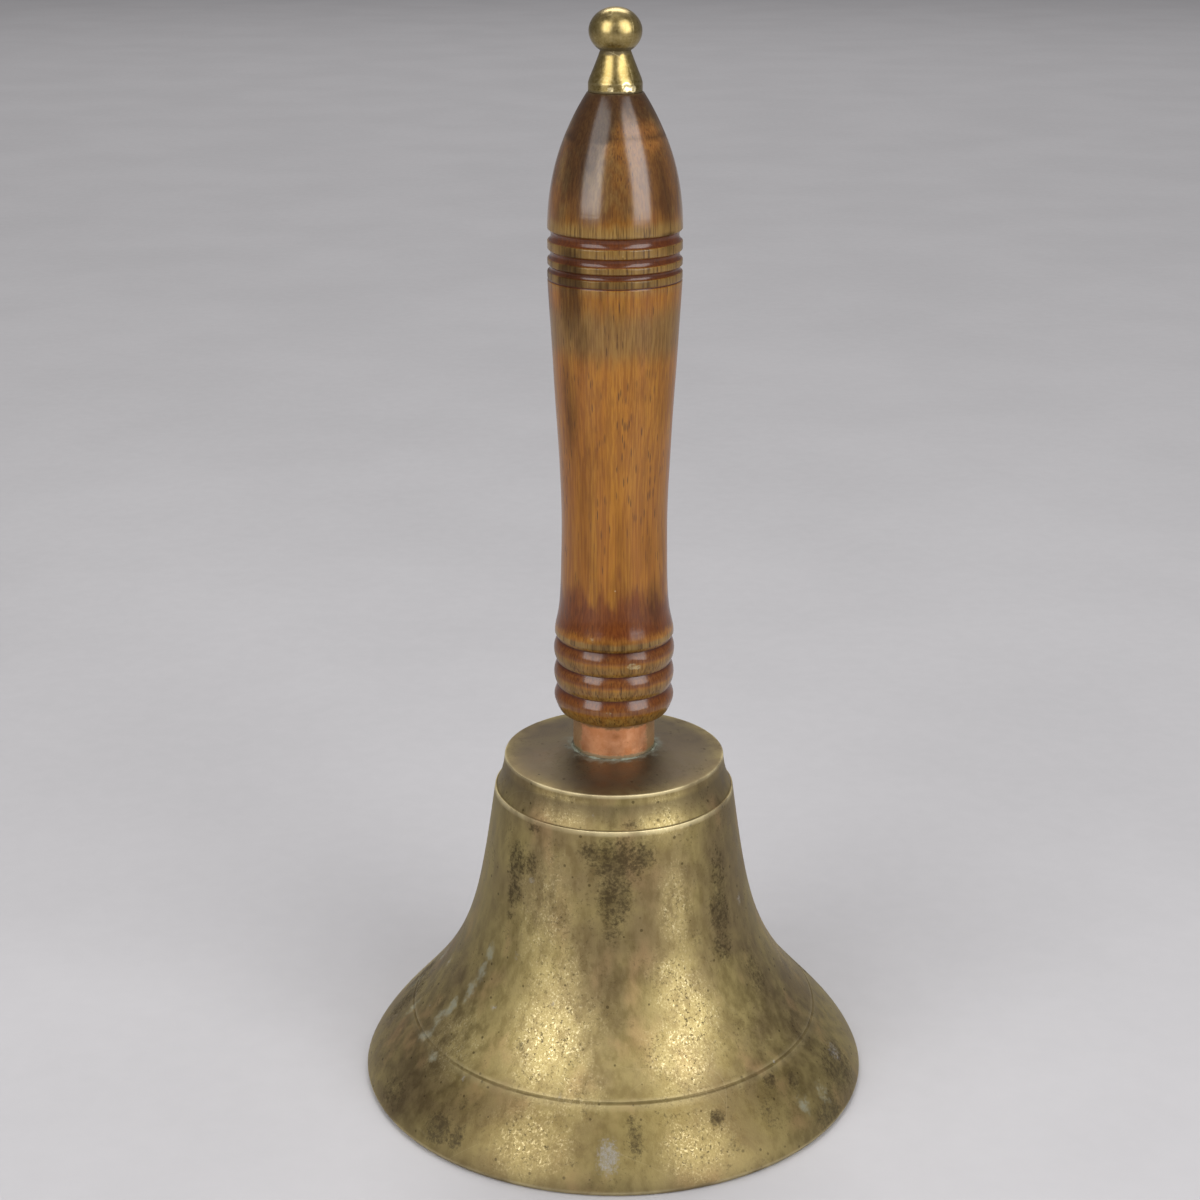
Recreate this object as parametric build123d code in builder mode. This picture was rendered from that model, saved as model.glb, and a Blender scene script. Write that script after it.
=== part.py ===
from build123d import *
import os
from math import acos, cos, exp, pi, sin, sqrt

# A school handbell standing on its mouth. Millimetres, +Z up.
# The origin is the centre of the mouth, on the plane of the rim.

os.makedirs("parts", exist_ok=True)

# Bell: one flared casting, turned about Z
mouth_radius = 75.0         # widest point of the lip
lip_round = 1.5             # rounding below the widest point
step_height = 91.3          # sharp edge where the waist meets the shoulder
step_radius = 34.7
waist_taper = 0.139         # how far the waist leans out for each mm down
flare_reach = 28.9          # height over which the flare dies away
flare_power = 1.72
step_ledge = 0.5            # width of the small ledge at the step
shoulder_rise = 9.7         # step up to the edge of the crown
shoulder_lean = 2.9         # how far the crown's edge stands in from the step
shoulder_hollow = 0.5       # depth of the shoulder's concave curve
crown_edge_round = 0.5
crown_rise = 2.4            # crown's edge up to the ferrule's seat
waist_wall = 3.2
sound_bow_extra = 2.8       # extra wall where the clapper strikes
sound_bow_height = 14.0
sound_bow_reach = 20.0
crown_wall = 6.4            # crown's thickness at its centre
crown_inner_round = 6.0
rim_inner_round = 0.6
scribed_line_height = 20.6
scribed_line_width = 0.9
scribed_line_depth = 0.35
wall_spans = 12             # stretches of the curves through the wall's points

# Ferrule: copper sleeve between crown and handle
ferrule_radius = 11.8
ferrule_wall = 1.4
ferrule_height = 10.2
ferrule_edge = 0.4

# Handle: turned hardwood, foot to nose
handle_length = 175.6       # shoulder on the ferrule to the flat under the finial
handle_foot_overhang = 0.9  # flat that rests on the ferrule, beyond its outside
bead_radius = 17.2
bead_groove_radius = 16.15
foot_bead_rise = 6.0        # foot up to the crest of the lowest bead
foot_bead_fall = 3.2        # that crest up to the first groove
bead_pitch = 7.2
bead_count = 2              # full beads above the foot bead
foot_bead_start = (1, 0.35)     # directions of the foot bead's curve, out and up
foot_bead_end = (-0.65, 1)
lower_lip_radius = 16.95    # end of the grip, above the beads
lower_lip_rise = 1.3
lower_lip_start = (1, 0.5)      # direction of the lip's curve out of the groove
waist_radius = 14.84        # slimmest part of the grip
waist_rise = 30.0           # lower lip up to the waist
grip_start = (-0.1, 1)      # direction of the grip's curve at the lower lip
low_grip_share = 0.4        # a place below the waist, and how much fuller it is there
low_grip_swell = 0.55
high_grip_drop = 42.0       # a place below the grip's top, and how much fuller it is there
high_grip_swell = 1.1
neck_grip_drop = 7.5        # a place just below the collar, and how far inside it it stands
neck_grip_inset = 0.5
grip_end = (0.1, 1)         # direction of the grip's curve at its top
collar_radius = 18.3        # the lands between the coves
cove_heights = [3.2, 2.6, 1.9]      # from the nose downwards
cove_depths = [0.95, 0.8, 0.7]
land_heights = [2.2, 1.5, 1.8]
tick_line_height = 0.6      # fine scribed line under the last land
tick_line_depth = 0.2
nose_height = 35.7          # uppermost cove to the flat under the finial
nose_belly_share = 0.5      # place on the nose where its belly is measured
nose_belly = 2.6            # how far the nose has drawn in there
nose_top_margin = 0.3       # nose's flat beyond the finial

# Finial: brass knob, a blind nut
finial_radius = 7.2
finial_base_height = 3.0
finial_cone_height = 7.6
finial_neck_radius = 4.0
knob_radius = 7.04
knob_half_height = 6.05
finial_foot_round = 0.35
finial_thread_depth = 7.0
knob_spans = 8              # stretches of the curve over the knob

# Tie rod, with the nut and washer that clamp it under the crown
rod_radius = 3.0
rod_head_overhang = 1.2
rod_head_height = 2.5
rod_head_round = 0.83
rod_tip_chamfer = 0.5
thread_clearance = 0.03
hole_clearance = 0.3        # round the rod, in crown, washer and handle
washer_radius = 10.0
washer_height = 1.6
nut_across_flats = 10.0
nut_height = 5.0

# Stirrup: bent steel strap, turns on the foot of the rod
running_clearance = 0.06    # round a shaft that turns
swivel_play = 0.15          # above and below the strap
strap_thickness = 2.5
strap_width = 10.0
ear_head_clearance = 0.5    # ears to the rod's head
strap_bend = 2.0            # outer rounding of each bend
ear_flat = 0.1              # short flat left at the end of each rounded ear
pin_radius = 2.0
pin_seat_clearance = 0.02
pin_head_overhang = 1.6
pin_head_height = 1.5
pin_head_round = 1.0

# Clapper: forged stem with a cross barrel, and a ball on its foot
barrel_wall = 2.44
barrel_side_clearance = 0.3
barrel_head_gap = 0.8       # barrel to the rod's head
ball_radius = 13.0
ball_height = 18.0          # centre of the ball above the rim
stem_top_radius = 2.8
stem_foot_radius = 3.8
stem_tenon_radius = 3.0     # the part inside the ball
peen_height = 1.2           # riveted end in the ball's countersink
peen_radius = 4.4

# Radii and heights that follow from those sizes
tenon_radius = ferrule_radius - ferrule_wall
handle_foot_radius = ferrule_radius + handle_foot_overhang
bore_radius = rod_radius + hole_clearance
thread_radius = rod_radius + thread_clearance
rod_head_radius = rod_radius + rod_head_overhang
strap_gap = 2 * (rod_head_radius + ear_head_clearance)      # between the ears
pin_head_radius = pin_radius + pin_head_overhang
barrel_radius = pin_radius + running_clearance + barrel_wall
crown_edge_height = step_height + shoulder_rise
crown_top = crown_edge_height + crown_rise
crown_underside = crown_top - crown_wall
handle_foot = crown_top + ferrule_height
handle_top = handle_foot + handle_length
washer_bottom = crown_underside - washer_height
nut_bottom = washer_bottom - nut_height
strap_top = nut_bottom - swivel_play
strap_underside = strap_top - strap_thickness
rod_head_top = strap_underside - swivel_play
rod_head_bottom = rod_head_top - rod_head_height
pin_height = rod_head_bottom - barrel_head_gap - barrel_radius
rod_top = handle_top + finial_thread_depth


def flare_at(z):
    """How far the flare has spread at height z, from 0 up high to 1 at the mouth."""
    return exp(-((z / flare_reach) ** flare_power))


flare_width = (
    mouth_radius - step_radius - waist_taper * (step_height - lip_round)
) / flare_at(lip_round)


def outer_radius(z):
    """Outside of the bell at height z: the waist's straight lean plus the flare."""
    return step_radius + waist_taper * (step_height - z) + flare_width * flare_at(z)


def outer_slope(z):
    """Change of the outer radius for each mm up, from a step either side."""
    step = 0.01
    return (outer_radius(z + step) - outer_radius(z - step)) / (2 * step)


def wall_at(z):
    """Wall thickness at height z: the waist's wall, thickened at the sound bow."""
    away = (z - sound_bow_height) / sound_bow_reach
    return waist_wall + sound_bow_extra * exp(-away * away)


def inner_point(z):
    """Point on the inside, one wall in from the outside at height z."""
    slope = outer_slope(z)
    reach = wall_at(z) / sqrt(1 + slope * slope)
    return (outer_radius(z) - reach, z + slope * reach)


# Bell shell
outer_climb = step_height - lip_round
outer_stations = [lip_round + outer_climb * n / wall_spans for n in range(wall_spans + 1)]
outer_wall = [(outer_radius(z), z) for z in outer_stations]
cavity_top_station = crown_underside - crown_inner_round
cavity_foot_station = lip_round / 3     # its inner point lies below the rim
cavity_climb = cavity_top_station - cavity_foot_station
cavity_stations = [
    cavity_foot_station + cavity_climb * n / wall_spans for n in range(wall_spans + 1)
]
inner_wall = [inner_point(z) for z in cavity_stations]
cavity_shoulder = (inner_wall[-1][0] + waist_taper, crown_underside)

with BuildPart() as bell_shell:
    with BuildSketch(Plane.XZ) as bell_section:
        with BuildLine():
            band_foot = (step_radius - step_ledge, step_height)
            band_top = (step_radius - shoulder_lean, crown_edge_height)
            band_middle = (
                (band_foot[0] + band_top[0]) / 2 - shoulder_hollow,
                (band_foot[1] + band_top[1]) / 2,
            )
            Spline(*outer_wall)
            Line(outer_wall[-1], band_foot)
            ThreePointArc(band_foot, band_middle, band_top)
            Line(band_top, (ferrule_radius, crown_top))
            Line((ferrule_radius, crown_top), (bore_radius, crown_top))
            Line((bore_radius, crown_top), (bore_radius, 0))
            Line((bore_radius, 0), (mouth_radius - lip_round, 0))
            RadiusArc((mouth_radius - lip_round, 0), (mouth_radius, lip_round), -lip_round)
        make_face()
        fillet(vertices().sort_by_distance(band_top)[0], crown_edge_round)
        with BuildLine():
            Spline(*inner_wall)
            Line(inner_wall[-1], cavity_shoulder)
            Line(cavity_shoulder, (0, crown_underside))
            Line((0, crown_underside), (0, inner_wall[0][1]))
            Line((0, inner_wall[0][1]), inner_wall[0])
        make_face(mode=Mode.SUBTRACT)
        fillet(vertices().sort_by_distance(cavity_shoulder)[0], crown_inner_round)
        rim_corners = vertices().filter_by_position(Axis.Y, -0.01, 0.01).sort_by(Axis.X)
        fillet(rim_corners[0], rim_inner_round)
        line_radius = outer_radius(scribed_line_height) + scribed_line_width - scribed_line_depth
        with Locations((line_radius, scribed_line_height)):
            Circle(scribed_line_width, mode=Mode.SUBTRACT)
    revolve(bell_section.sketch, axis=Axis.Z)

bell_shell.part.label = "bell_shell"
export_step(bell_shell.part, "parts/bell_shell.step")


# Ferrule
with BuildPart() as ferrule:
    with BuildSketch(Plane.XY.offset(crown_top)):
        Circle(ferrule_radius)
        Circle(tenon_radius, mode=Mode.SUBTRACT)
    extrude(amount=ferrule_height)
    chamfer(edges().sort_by(Axis.Z)[:2].sort_by(Edge.length)[-1], ferrule_edge)

ferrule.part.label = "ferrule"
export_step(ferrule.part, "parts/ferrule.step")


# Handle
foot_crest = handle_foot + foot_bead_rise
first_groove = foot_crest + foot_bead_fall
last_groove = first_groove + bead_count * bead_pitch
lower_lip = last_groove + lower_lip_rise
nose_foot = handle_top - nose_height
collar_foot = nose_foot - sum(cove_heights) - sum(land_heights)
grip_top = collar_foot - tick_line_height
nose_top_radius = finial_radius + nose_top_margin

with BuildPart() as handle:
    with BuildSketch(Plane.XZ) as handle_profile:
        with BuildLine():
            tenon_foot = (tenon_radius, crown_top)
            Line((bore_radius, crown_top), tenon_foot)
            Line(tenon_foot, (tenon_radius, handle_foot))
            Line((tenon_radius, handle_foot), (handle_foot_radius, handle_foot))
            Spline(
                (handle_foot_radius, handle_foot),
                (bead_radius, foot_crest),
                (bead_groove_radius, first_groove),
                tangents=[foot_bead_start, foot_bead_end],
            )
            for bead in range(bead_count):
                bead_foot = first_groove + bead * bead_pitch
                ThreePointArc(
                    (bead_groove_radius, bead_foot),
                    (bead_radius, bead_foot + bead_pitch / 2),
                    (bead_groove_radius, bead_foot + bead_pitch),
                )
            Spline(
                (bead_groove_radius, last_groove),
                (lower_lip_radius, lower_lip),
                tangents=[lower_lip_start, (0, 1)],
            )
            Spline(
                (lower_lip_radius, lower_lip),
                (waist_radius + low_grip_swell, lower_lip + waist_rise * low_grip_share),
                (waist_radius, lower_lip + waist_rise),
                (waist_radius + high_grip_swell, grip_top - high_grip_drop),
                (collar_radius - neck_grip_inset, grip_top - neck_grip_drop),
                (collar_radius, grip_top),
                tangents=[grip_start, grip_end],
            )
            Line((collar_radius, grip_top), (collar_radius - tick_line_depth, grip_top))
            tick_top = (collar_radius - tick_line_depth, collar_foot)
            Line((collar_radius - tick_line_depth, grip_top), tick_top)
            Line(tick_top, (collar_radius, collar_foot))
            z = collar_foot
            for cove_height, cove_depth, land_height in zip(
                reversed(cove_heights), reversed(cove_depths), reversed(land_heights)
            ):
                cove_foot = z + land_height
                cove_top = cove_foot + cove_height
                Line((collar_radius, z), (collar_radius, cove_foot))
                ThreePointArc(
                    (collar_radius, cove_foot),
                    (collar_radius - cove_depth, cove_foot + cove_height / 2),
                    (collar_radius, cove_top),
                )
                z = cove_top
            nose_middle = (collar_radius - nose_belly, nose_foot + nose_height * nose_belly_share)
            ThreePointArc(
                (collar_radius, nose_foot),
                nose_middle,
                (nose_top_radius, handle_top),
            )
            Line((nose_top_radius, handle_top), (bore_radius, handle_top))
            Line((bore_radius, handle_top), (bore_radius, crown_top))
        make_face()
    revolve(handle_profile.sketch, axis=Axis.Z)

handle.part.label = "handle"
export_step(handle.part, "parts/handle.step")


# Finial
cone_foot = handle_top + finial_base_height
cone_top = cone_foot + finial_cone_height
neck_angle = acos(finial_neck_radius / knob_radius)     # below the knob's equator
knob_centre = cone_top + knob_half_height * sin(neck_angle)
knob_top = knob_centre + knob_half_height
knob_sweep = pi / 2 + neck_angle
knob_angles = [-neck_angle + knob_sweep * n / knob_spans for n in range(knob_spans + 1)]
knob_points = [
    (knob_radius * cos(angle), knob_centre + knob_half_height * sin(angle))
    for angle in knob_angles
]
thread_end = rod_top + hole_clearance

with BuildPart() as finial:
    with BuildSketch(Plane.XZ) as finial_profile:
        with BuildLine():
            Polyline(
                (0, knob_top),
                (0, thread_end),
                (thread_radius, thread_end),
                (thread_radius, handle_top),
                (finial_radius, handle_top),
                (finial_radius, cone_foot),
                (finial_neck_radius, cone_top),
            )
            Spline(*knob_points, tangents=[(sin(neck_angle), cos(neck_angle)), (-1, 0)])
        make_face()
    revolve(finial_profile.sketch, axis=Axis.Z)
    fillet(edges().sort_by_distance((0, finial_radius, cone_foot))[0], finial_base_height / 2)
    fillet(edges().sort_by_distance((0, finial_radius, handle_top))[0], finial_foot_round)

finial.part.label = "finial"
export_step(finial.part, "parts/finial.step")


# Tie rod, crown washer and crown nut
with BuildPart() as tie_rod:
    with BuildSketch(Plane.XY.offset(rod_head_bottom)):
        Circle(rod_head_radius)
    extrude(amount=rod_head_height)
    fillet(edges().sort_by(Axis.Z)[0], rod_head_round)
    with BuildSketch(Plane.XY.offset(rod_head_top)):
        Circle(rod_radius)
    extrude(amount=rod_top - rod_head_top)
    chamfer(edges().sort_by(Axis.Z)[-1], rod_tip_chamfer)

tie_rod.part.label = "tie_rod"
export_step(tie_rod.part, "parts/tie_rod.step")

with BuildPart() as crown_washer:
    with BuildSketch(Plane.XY.offset(washer_bottom)):
        Circle(washer_radius)
        Circle(bore_radius, mode=Mode.SUBTRACT)
    extrude(amount=washer_height)

crown_washer.part.label = "crown_washer"
export_step(crown_washer.part, "parts/crown_washer.step")

with BuildPart() as crown_nut:
    with BuildSketch(Plane.XY.offset(nut_bottom)):
        RegularPolygon(nut_across_flats / 2, 6, major_radius=False)
        Circle(thread_radius, mode=Mode.SUBTRACT)
    extrude(amount=nut_height)

crown_nut.part.label = "crown_nut"
export_step(crown_nut.part, "parts/crown_nut.step")


# Clapper stirrup and its pin
strap_outer = strap_gap + 2 * strap_thickness
ear_end = strap_width / 2

with BuildPart() as clapper_stirrup:
    with BuildSketch(Plane.YZ) as strap_profile:
        with Locations((0, (strap_top + pin_height - ear_end) / 2)):
            Rectangle(strap_outer, strap_top - pin_height + ear_end)
        fillet(vertices().group_by(Axis.Y)[-1], strap_bend)
        with Locations((0, (strap_underside + pin_height - ear_end) / 2)):
            Rectangle(strap_gap, strap_underside - pin_height + ear_end, mode=Mode.SUBTRACT)
    extrude(amount=ear_end, both=True)
    ear_corners = edges().filter_by(Axis.Y).group_by(Axis.Z)[0]
    fillet(ear_corners, ear_end - ear_flat)
    with Locations((0, 0, strap_top)):
        Hole(rod_radius + running_clearance, depth=strap_thickness)
    with BuildSketch(Plane.XZ) as pin_holes:
        with Locations((0, pin_height)):
            Circle(pin_radius + pin_seat_clearance)
    extrude(amount=strap_outer, both=True, mode=Mode.SUBTRACT)

clapper_stirrup.part.label = "clapper_stirrup"
export_step(clapper_stirrup.part, "parts/clapper_stirrup.step")

with BuildPart() as stirrup_pin:
    with BuildSketch(Plane.XZ) as pin_section:
        with Locations((0, pin_height)):
            Circle(pin_radius)
    extrude(amount=strap_outer / 2, both=True)
    for side in (1, -1):
        with BuildSketch(Plane.XZ.offset(side * strap_outer / 2)) as head_section:
            with Locations((0, pin_height)):
                Circle(pin_head_radius)
        extrude(amount=side * pin_head_height)
    fillet(edges().group_by(Axis.Y)[0], pin_head_round)
    fillet(edges().group_by(Axis.Y)[-1], pin_head_round)

stirrup_pin.part.label = "stirrup_pin"
export_step(stirrup_pin.part, "parts/stirrup_pin.step")


# Clapper stem and ball
stem_top = pin_height - (barrel_radius + pin_radius) / 2    # inside the barrel's wall
stem_shoulder = ball_height + sqrt(ball_radius**2 - stem_foot_radius**2)
ball_bottom = ball_height - sqrt(ball_radius**2 - peen_radius**2)

with BuildPart() as clapper_stem:
    with BuildSketch(Plane.XZ) as barrel_section:
        with Locations((0, pin_height)):
            Circle(barrel_radius)
            Circle(pin_radius + running_clearance, mode=Mode.SUBTRACT)
    extrude(amount=strap_gap / 2 - barrel_side_clearance, both=True)
    with BuildSketch(Plane.XZ) as stem_profile:
        with BuildLine():
            Polyline(
                (0, stem_top),
                (stem_top_radius, stem_top),
                (stem_top_radius, pin_height - barrel_radius),
                (stem_foot_radius, stem_shoulder),
                (stem_tenon_radius, stem_shoulder),
                (stem_tenon_radius, ball_bottom + peen_height),
                (peen_radius, ball_bottom),
                (0, ball_bottom),
                close=True,
            )
        make_face()
    revolve(stem_profile.sketch, axis=Axis.Z)

clapper_stem.part.label = "clapper_stem"
export_step(clapper_stem.part, "parts/clapper_stem.step")

with BuildPart() as clapper_ball:
    with Locations((0, 0, ball_height)):
        Sphere(ball_radius)
    with BuildSketch(Plane.XZ) as ball_bore:
        with BuildLine():
            Polyline(
                (0, ball_height + ball_radius),
                (stem_foot_radius, ball_height + ball_radius),
                (stem_foot_radius, stem_shoulder),
                (stem_tenon_radius, stem_shoulder),
                (stem_tenon_radius, ball_bottom + peen_height),
                (peen_radius, ball_bottom),
                (peen_radius, ball_height - ball_radius),
                (0, ball_height - ball_radius),
                close=True,
            )
        make_face()
    revolve(ball_bore.sketch, axis=Axis.Z, mode=Mode.SUBTRACT)

clapper_ball.part.label = "clapper_ball"
export_step(clapper_ball.part, "parts/clapper_ball.step")
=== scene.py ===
import bpy
import numpy as np
from math import radians, pi
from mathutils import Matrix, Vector


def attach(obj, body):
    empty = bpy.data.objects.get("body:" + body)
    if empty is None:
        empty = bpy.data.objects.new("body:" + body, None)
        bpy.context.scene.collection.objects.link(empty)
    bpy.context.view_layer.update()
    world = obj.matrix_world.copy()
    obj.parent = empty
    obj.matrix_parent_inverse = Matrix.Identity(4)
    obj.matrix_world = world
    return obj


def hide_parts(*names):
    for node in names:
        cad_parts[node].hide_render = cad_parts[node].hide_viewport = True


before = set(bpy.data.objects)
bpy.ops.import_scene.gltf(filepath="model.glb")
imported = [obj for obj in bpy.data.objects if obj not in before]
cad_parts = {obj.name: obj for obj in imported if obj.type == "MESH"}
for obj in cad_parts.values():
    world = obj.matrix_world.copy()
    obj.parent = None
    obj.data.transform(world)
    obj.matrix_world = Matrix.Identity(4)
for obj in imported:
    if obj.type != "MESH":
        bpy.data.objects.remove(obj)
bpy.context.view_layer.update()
print("frame loaded")

mm = 0.001
bendWindow = 0.3 * mm   # length of profile over which a ridge or groove is felt


# Surfaces
def smoothStep(low, high, x):
    # 0 below low, 1 above high, and a cubic ease between them
    t = np.clip((x - low) / (high - low), 0, 1)
    return t * t * (3 - 2 * t)


def hump(x, middle, reach):
    # a bell curve: 1 at the middle, fading as exp(-(distance / reach) ** 2)
    return np.exp(-((x - middle) / reach) ** 2)


def arcPoints(centre, radius, startAngle, endAngle, count):
    # points of a circle: centre + radius * (cos, sin), angles in degrees
    a = np.radians(np.linspace(startAngle, endAngle, count))
    return np.column_stack([centre[0] + radius * np.cos(a), centre[1] + radius * np.sin(a)])


def arcThrough(first, middle, last, count):
    # the circle through three points, walked from the first to the last
    (ax, ay), (bx, by), (cx, cy) = first, middle, last
    d = 2 * (ax * (by - cy) + bx * (cy - ay) + cx * (ay - by))
    ux = ((ax**2 + ay**2) * (by - cy) + (bx**2 + by**2) * (cy - ay) + (cx**2 + cy**2) * (ay - by)) / d
    uy = ((ax**2 + ay**2) * (cx - bx) + (bx**2 + by**2) * (ax - cx) + (cx**2 + cy**2) * (bx - ax)) / d
    angles = np.unwrap([np.arctan2(y - uy, x - ux) for x, y in (first, middle, last)])
    a = np.linspace(angles[0], angles[2], count)
    radius = np.hypot(ax - ux, ay - uy)
    return np.column_stack([ux + radius * np.cos(a), uy + radius * np.sin(a)])


def throughPoints(points, count):
    # a smooth curve through a few points: cubic pieces whose slopes come from the
    # neighbours on each side
    p = np.array(points)
    t = np.concatenate([[0], np.cumsum(np.sqrt(np.hypot(*np.diff(p, axis=0).T)))])
    m = np.gradient(p, t, axis=0)
    at = np.linspace(0, t[-1], count)
    k = np.clip(np.searchsorted(t, at) - 1, 0, len(t) - 2)
    w = (t[k + 1] - t[k])[:, None]
    s = ((at - t[k])[:, None]) / w
    return (
        (2 * s**3 - 3 * s**2 + 1) * p[k] + (s**3 - 2 * s**2 + s) * w * m[k]
        + (3 * s**2 - 2 * s**3) * p[k + 1] + (s**3 - s**2) * w * m[k + 1]
    )


def alongPath(at, walked, path):
    return np.column_stack([np.interp(at, walked, path[:, k]) for k in (0, 1)])


def evenPath(path, spacing, closed):
    # the same path walked in even steps: each coordinate interpolated along the length walked
    if closed:
        path = np.vstack([path, path[:1]])
    walked = np.concatenate([[0], np.cumsum(np.hypot(*np.diff(path, axis=0).T))])
    at = np.linspace(0, walked[-1], int(round(walked[-1] / spacing)) + 1)
    return alongPath(at[:-1] if closed else at, walked, path)


def wornPath(path, spacing, wear, closed):
    # corners rounded off: the even path averaged with a bell-shaped weight of width wear
    even = evenPath(path, spacing, closed)
    reach = int(np.ceil(3 * wear / spacing))
    offsets = np.arange(-reach, reach + 1)
    weights = np.exp(-0.5 * (offsets * spacing / wear) ** 2)
    weights /= weights.sum()
    if closed:
        padded = np.vstack([even[-reach:], even, even[:reach]])
    else:
        before = 2 * even[:1] - even[reach:0:-1]
        after = 2 * even[-1:] - even[-2:-reach - 2:-1]
        padded = np.vstack([before, even, after])
    return np.column_stack([np.convolve(padded[:, k], weights, "valid") for k in (0, 1)])


def stationsByBend(path, count, bendShare, closed):
    # fewer points, closer together where the path bends: stations spread evenly over
    # a running total of length plus turning angle
    step = np.diff(path, axis=0, append=path[:1] if closed else path[-1:])
    length = np.hypot(step[:, 0], step[:, 1])
    heading = np.unwrap(np.arctan2(step[:, 1], step[:, 0]))
    if not closed:
        heading[-1] = heading[-2]
    turning = np.abs(np.gradient(heading))
    density = length / length.sum() + bendShare * turning / turning.sum()
    total = np.concatenate([[0], np.cumsum(density)])
    if closed:
        wanted = np.linspace(0, total[-1], count, endpoint=False)
        path = np.vstack([path, path[:1]])
    else:
        wanted = np.linspace(0, total[-2], count)
        total = total[:-1]
    return alongPath(wanted, total, path)


def finishedPath(path, sizes, closed):
    # the piece's sharp profile with its corners worn and its stations set out
    even = wornPath(path, sizes["spacing"], sizes["wear"], closed)
    return stationsByBend(even, sizes["stations"], sizes["bendShare"], closed)


def pathBend(path, closed):
    # how sharply the profile turns at each station, in radians over bendWindow:
    # positive on ridges, negative in grooves, averaged with the neighbours
    ahead = np.roll(path, -1, axis=0) - path
    behind = path - np.roll(path, 1, axis=0)
    turn = np.arctan2(behind[:, 0] * ahead[:, 1] - behind[:, 1] * ahead[:, 0], (behind * ahead).sum(axis=1))
    if not closed:
        turn[0] = turn[-1] = 0
    lengths = (np.hypot(*ahead.T) + np.hypot(*behind.T)) / 2
    walked = np.cumsum(lengths)
    near = hump(walked[:, None], walked[None, :], bendWindow)
    return (near * turn[None, :]).sum(axis=1)


def turnedFaces(rows, around, closed):
    # four-sided faces between neighbouring rings; an open profile's ends lie on the axis, so
    # each end ring is closed by a fan to one point more
    i, j = np.meshgrid(np.arange(rows if closed else rows - 1), np.arange(around), indexing="ij")
    nextI = (i + 1) % rows
    nextJ = (j + 1) % around
    corners = [i * around + j, i * around + nextJ, nextI * around + nextJ, nextI * around + j]
    faces = np.stack(corners, axis=-1).reshape(-1, 4).tolist()
    if not closed:
        ring = np.arange(around)
        after = (ring + 1) % around
        foot = rows * around
        top = foot - around
        faces += np.column_stack([after, ring, np.full(around, foot)]).tolist()
        faces += np.column_stack([top + ring, top + after, np.full(around, foot + 1)]).tolist()
    return faces


def turnedSurface(name, path, piece, closed, relief, stains):
    # a profile carried round Z: (r, z) goes to (r cos a, r sin a, z), then each point moves
    # along the profile's own outward normal by relief(a, r, z, piece), all in metres.
    # stains(a, r, z) gives the named shares of dirt and wear kept on the points.
    around = piece["around"]
    angle = np.linspace(0, 2 * pi, around, endpoint=False)
    r = np.repeat(path[:, :1], around, axis=1)
    z = np.repeat(path[:, 1:], around, axis=1)
    a = np.repeat(angle[None, :], len(path), axis=0)
    bend = np.repeat(pathBend(path, closed)[:, None], around, axis=1)
    layers = {"ridge": np.clip(bend, 0, 1), "groove": np.clip(-bend, 0, 1), **stains(a, r, z)}
    if closed:
        along = np.roll(path, -1, axis=0) - np.roll(path, 1, axis=0)
    else:
        along = np.gradient(path, axis=0)
    along = along / np.hypot(along[:, 0], along[:, 1])[:, None]
    push = relief(a, r, z, piece)
    r = r + push * along[:, 1:]
    z = z - push * along[:, :1]
    points = np.stack([r * np.cos(a), r * np.sin(a), z], axis=-1).reshape(-1, 3)
    if not closed:
        points = np.vstack([points, [[0, 0, z[0].mean()], [0, 0, z[-1].mean()]]])
    mesh = bpy.data.meshes.new(name)
    mesh.from_pydata(points.tolist(), [], turnedFaces(len(path), around, closed))
    mesh.polygons.foreach_set("use_smooth", np.ones(len(mesh.polygons), dtype=bool))
    for layer, values in layers.items():
        poles = [] if closed else [values[0].mean(), values[-1].mean()]
        store = mesh.attributes.new(layer, "FLOAT", "POINT")
        store.data.foreach_set("value", np.append(values.reshape(-1), poles).astype(np.float32))
    mesh.update()
    surface = bpy.data.objects.new(name, mesh)
    bpy.context.scene.collection.objects.link(surface)
    return surface


def waves(a, z, seed, count, roundWaves, heightWaves):
    # smooth unevenness between about -1 and 1: a sum of cosines of whole waves round the
    # axis and slow waves up it, with seeded phases, z in mm
    rng = np.random.default_rng(seed)
    total = np.zeros_like(a)
    for n in range(count):
        k = rng.integers(1, roundWaves + 1)
        h = rng.uniform(-heightWaves, heightWaves)
        total += np.cos(k * a + h * z + rng.uniform(0, 2 * pi))
    return total / np.sqrt(count)


def acrossTo(a, r, angle):
    # distance round the surface from an angle in degrees
    return np.angle(np.exp(1j * (a - radians(angle)))) * r


def handWorked(a, r, z, piece):
    # slow unevenness and dents, growing between the two radii of the skin. each dent (angle in
    # degrees, height, width, depth in mm) is a smooth hollow: minus depth times a bell curve
    # of the distance over the surface
    hollow = np.zeros_like(a)
    for angle, height, width, depth in piece["dents"]:
        away = (acrossTo(a, r, angle)**2 + (z - height * mm) ** 2) / (width * mm) ** 2
        hollow -= depth * mm * np.exp(-away)
    return smoothStep(*piece["skin"], r) * (piece["uneven"] * waves(a, z / mm, *piece["waves"]) + hollow)


def patches(a, r, z, marks):
    # each mark (angle in degrees, height, half width, half height in mm, strength) is an
    # oval cloud: strength times a flat-topped bell curve of the distance over the surface.
    # where clouds meet, the stronger one counts
    total = np.zeros_like(a)
    for angle, height, wide, tall, strength in marks:
        across = acrossTo(a, r, angle) / (wide * mm)
        up = (z - height * mm) / (tall * mm)
        total = np.maximum(total, strength * np.exp(-((across**2 + up**2) ** 1.5)))
    return total


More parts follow.
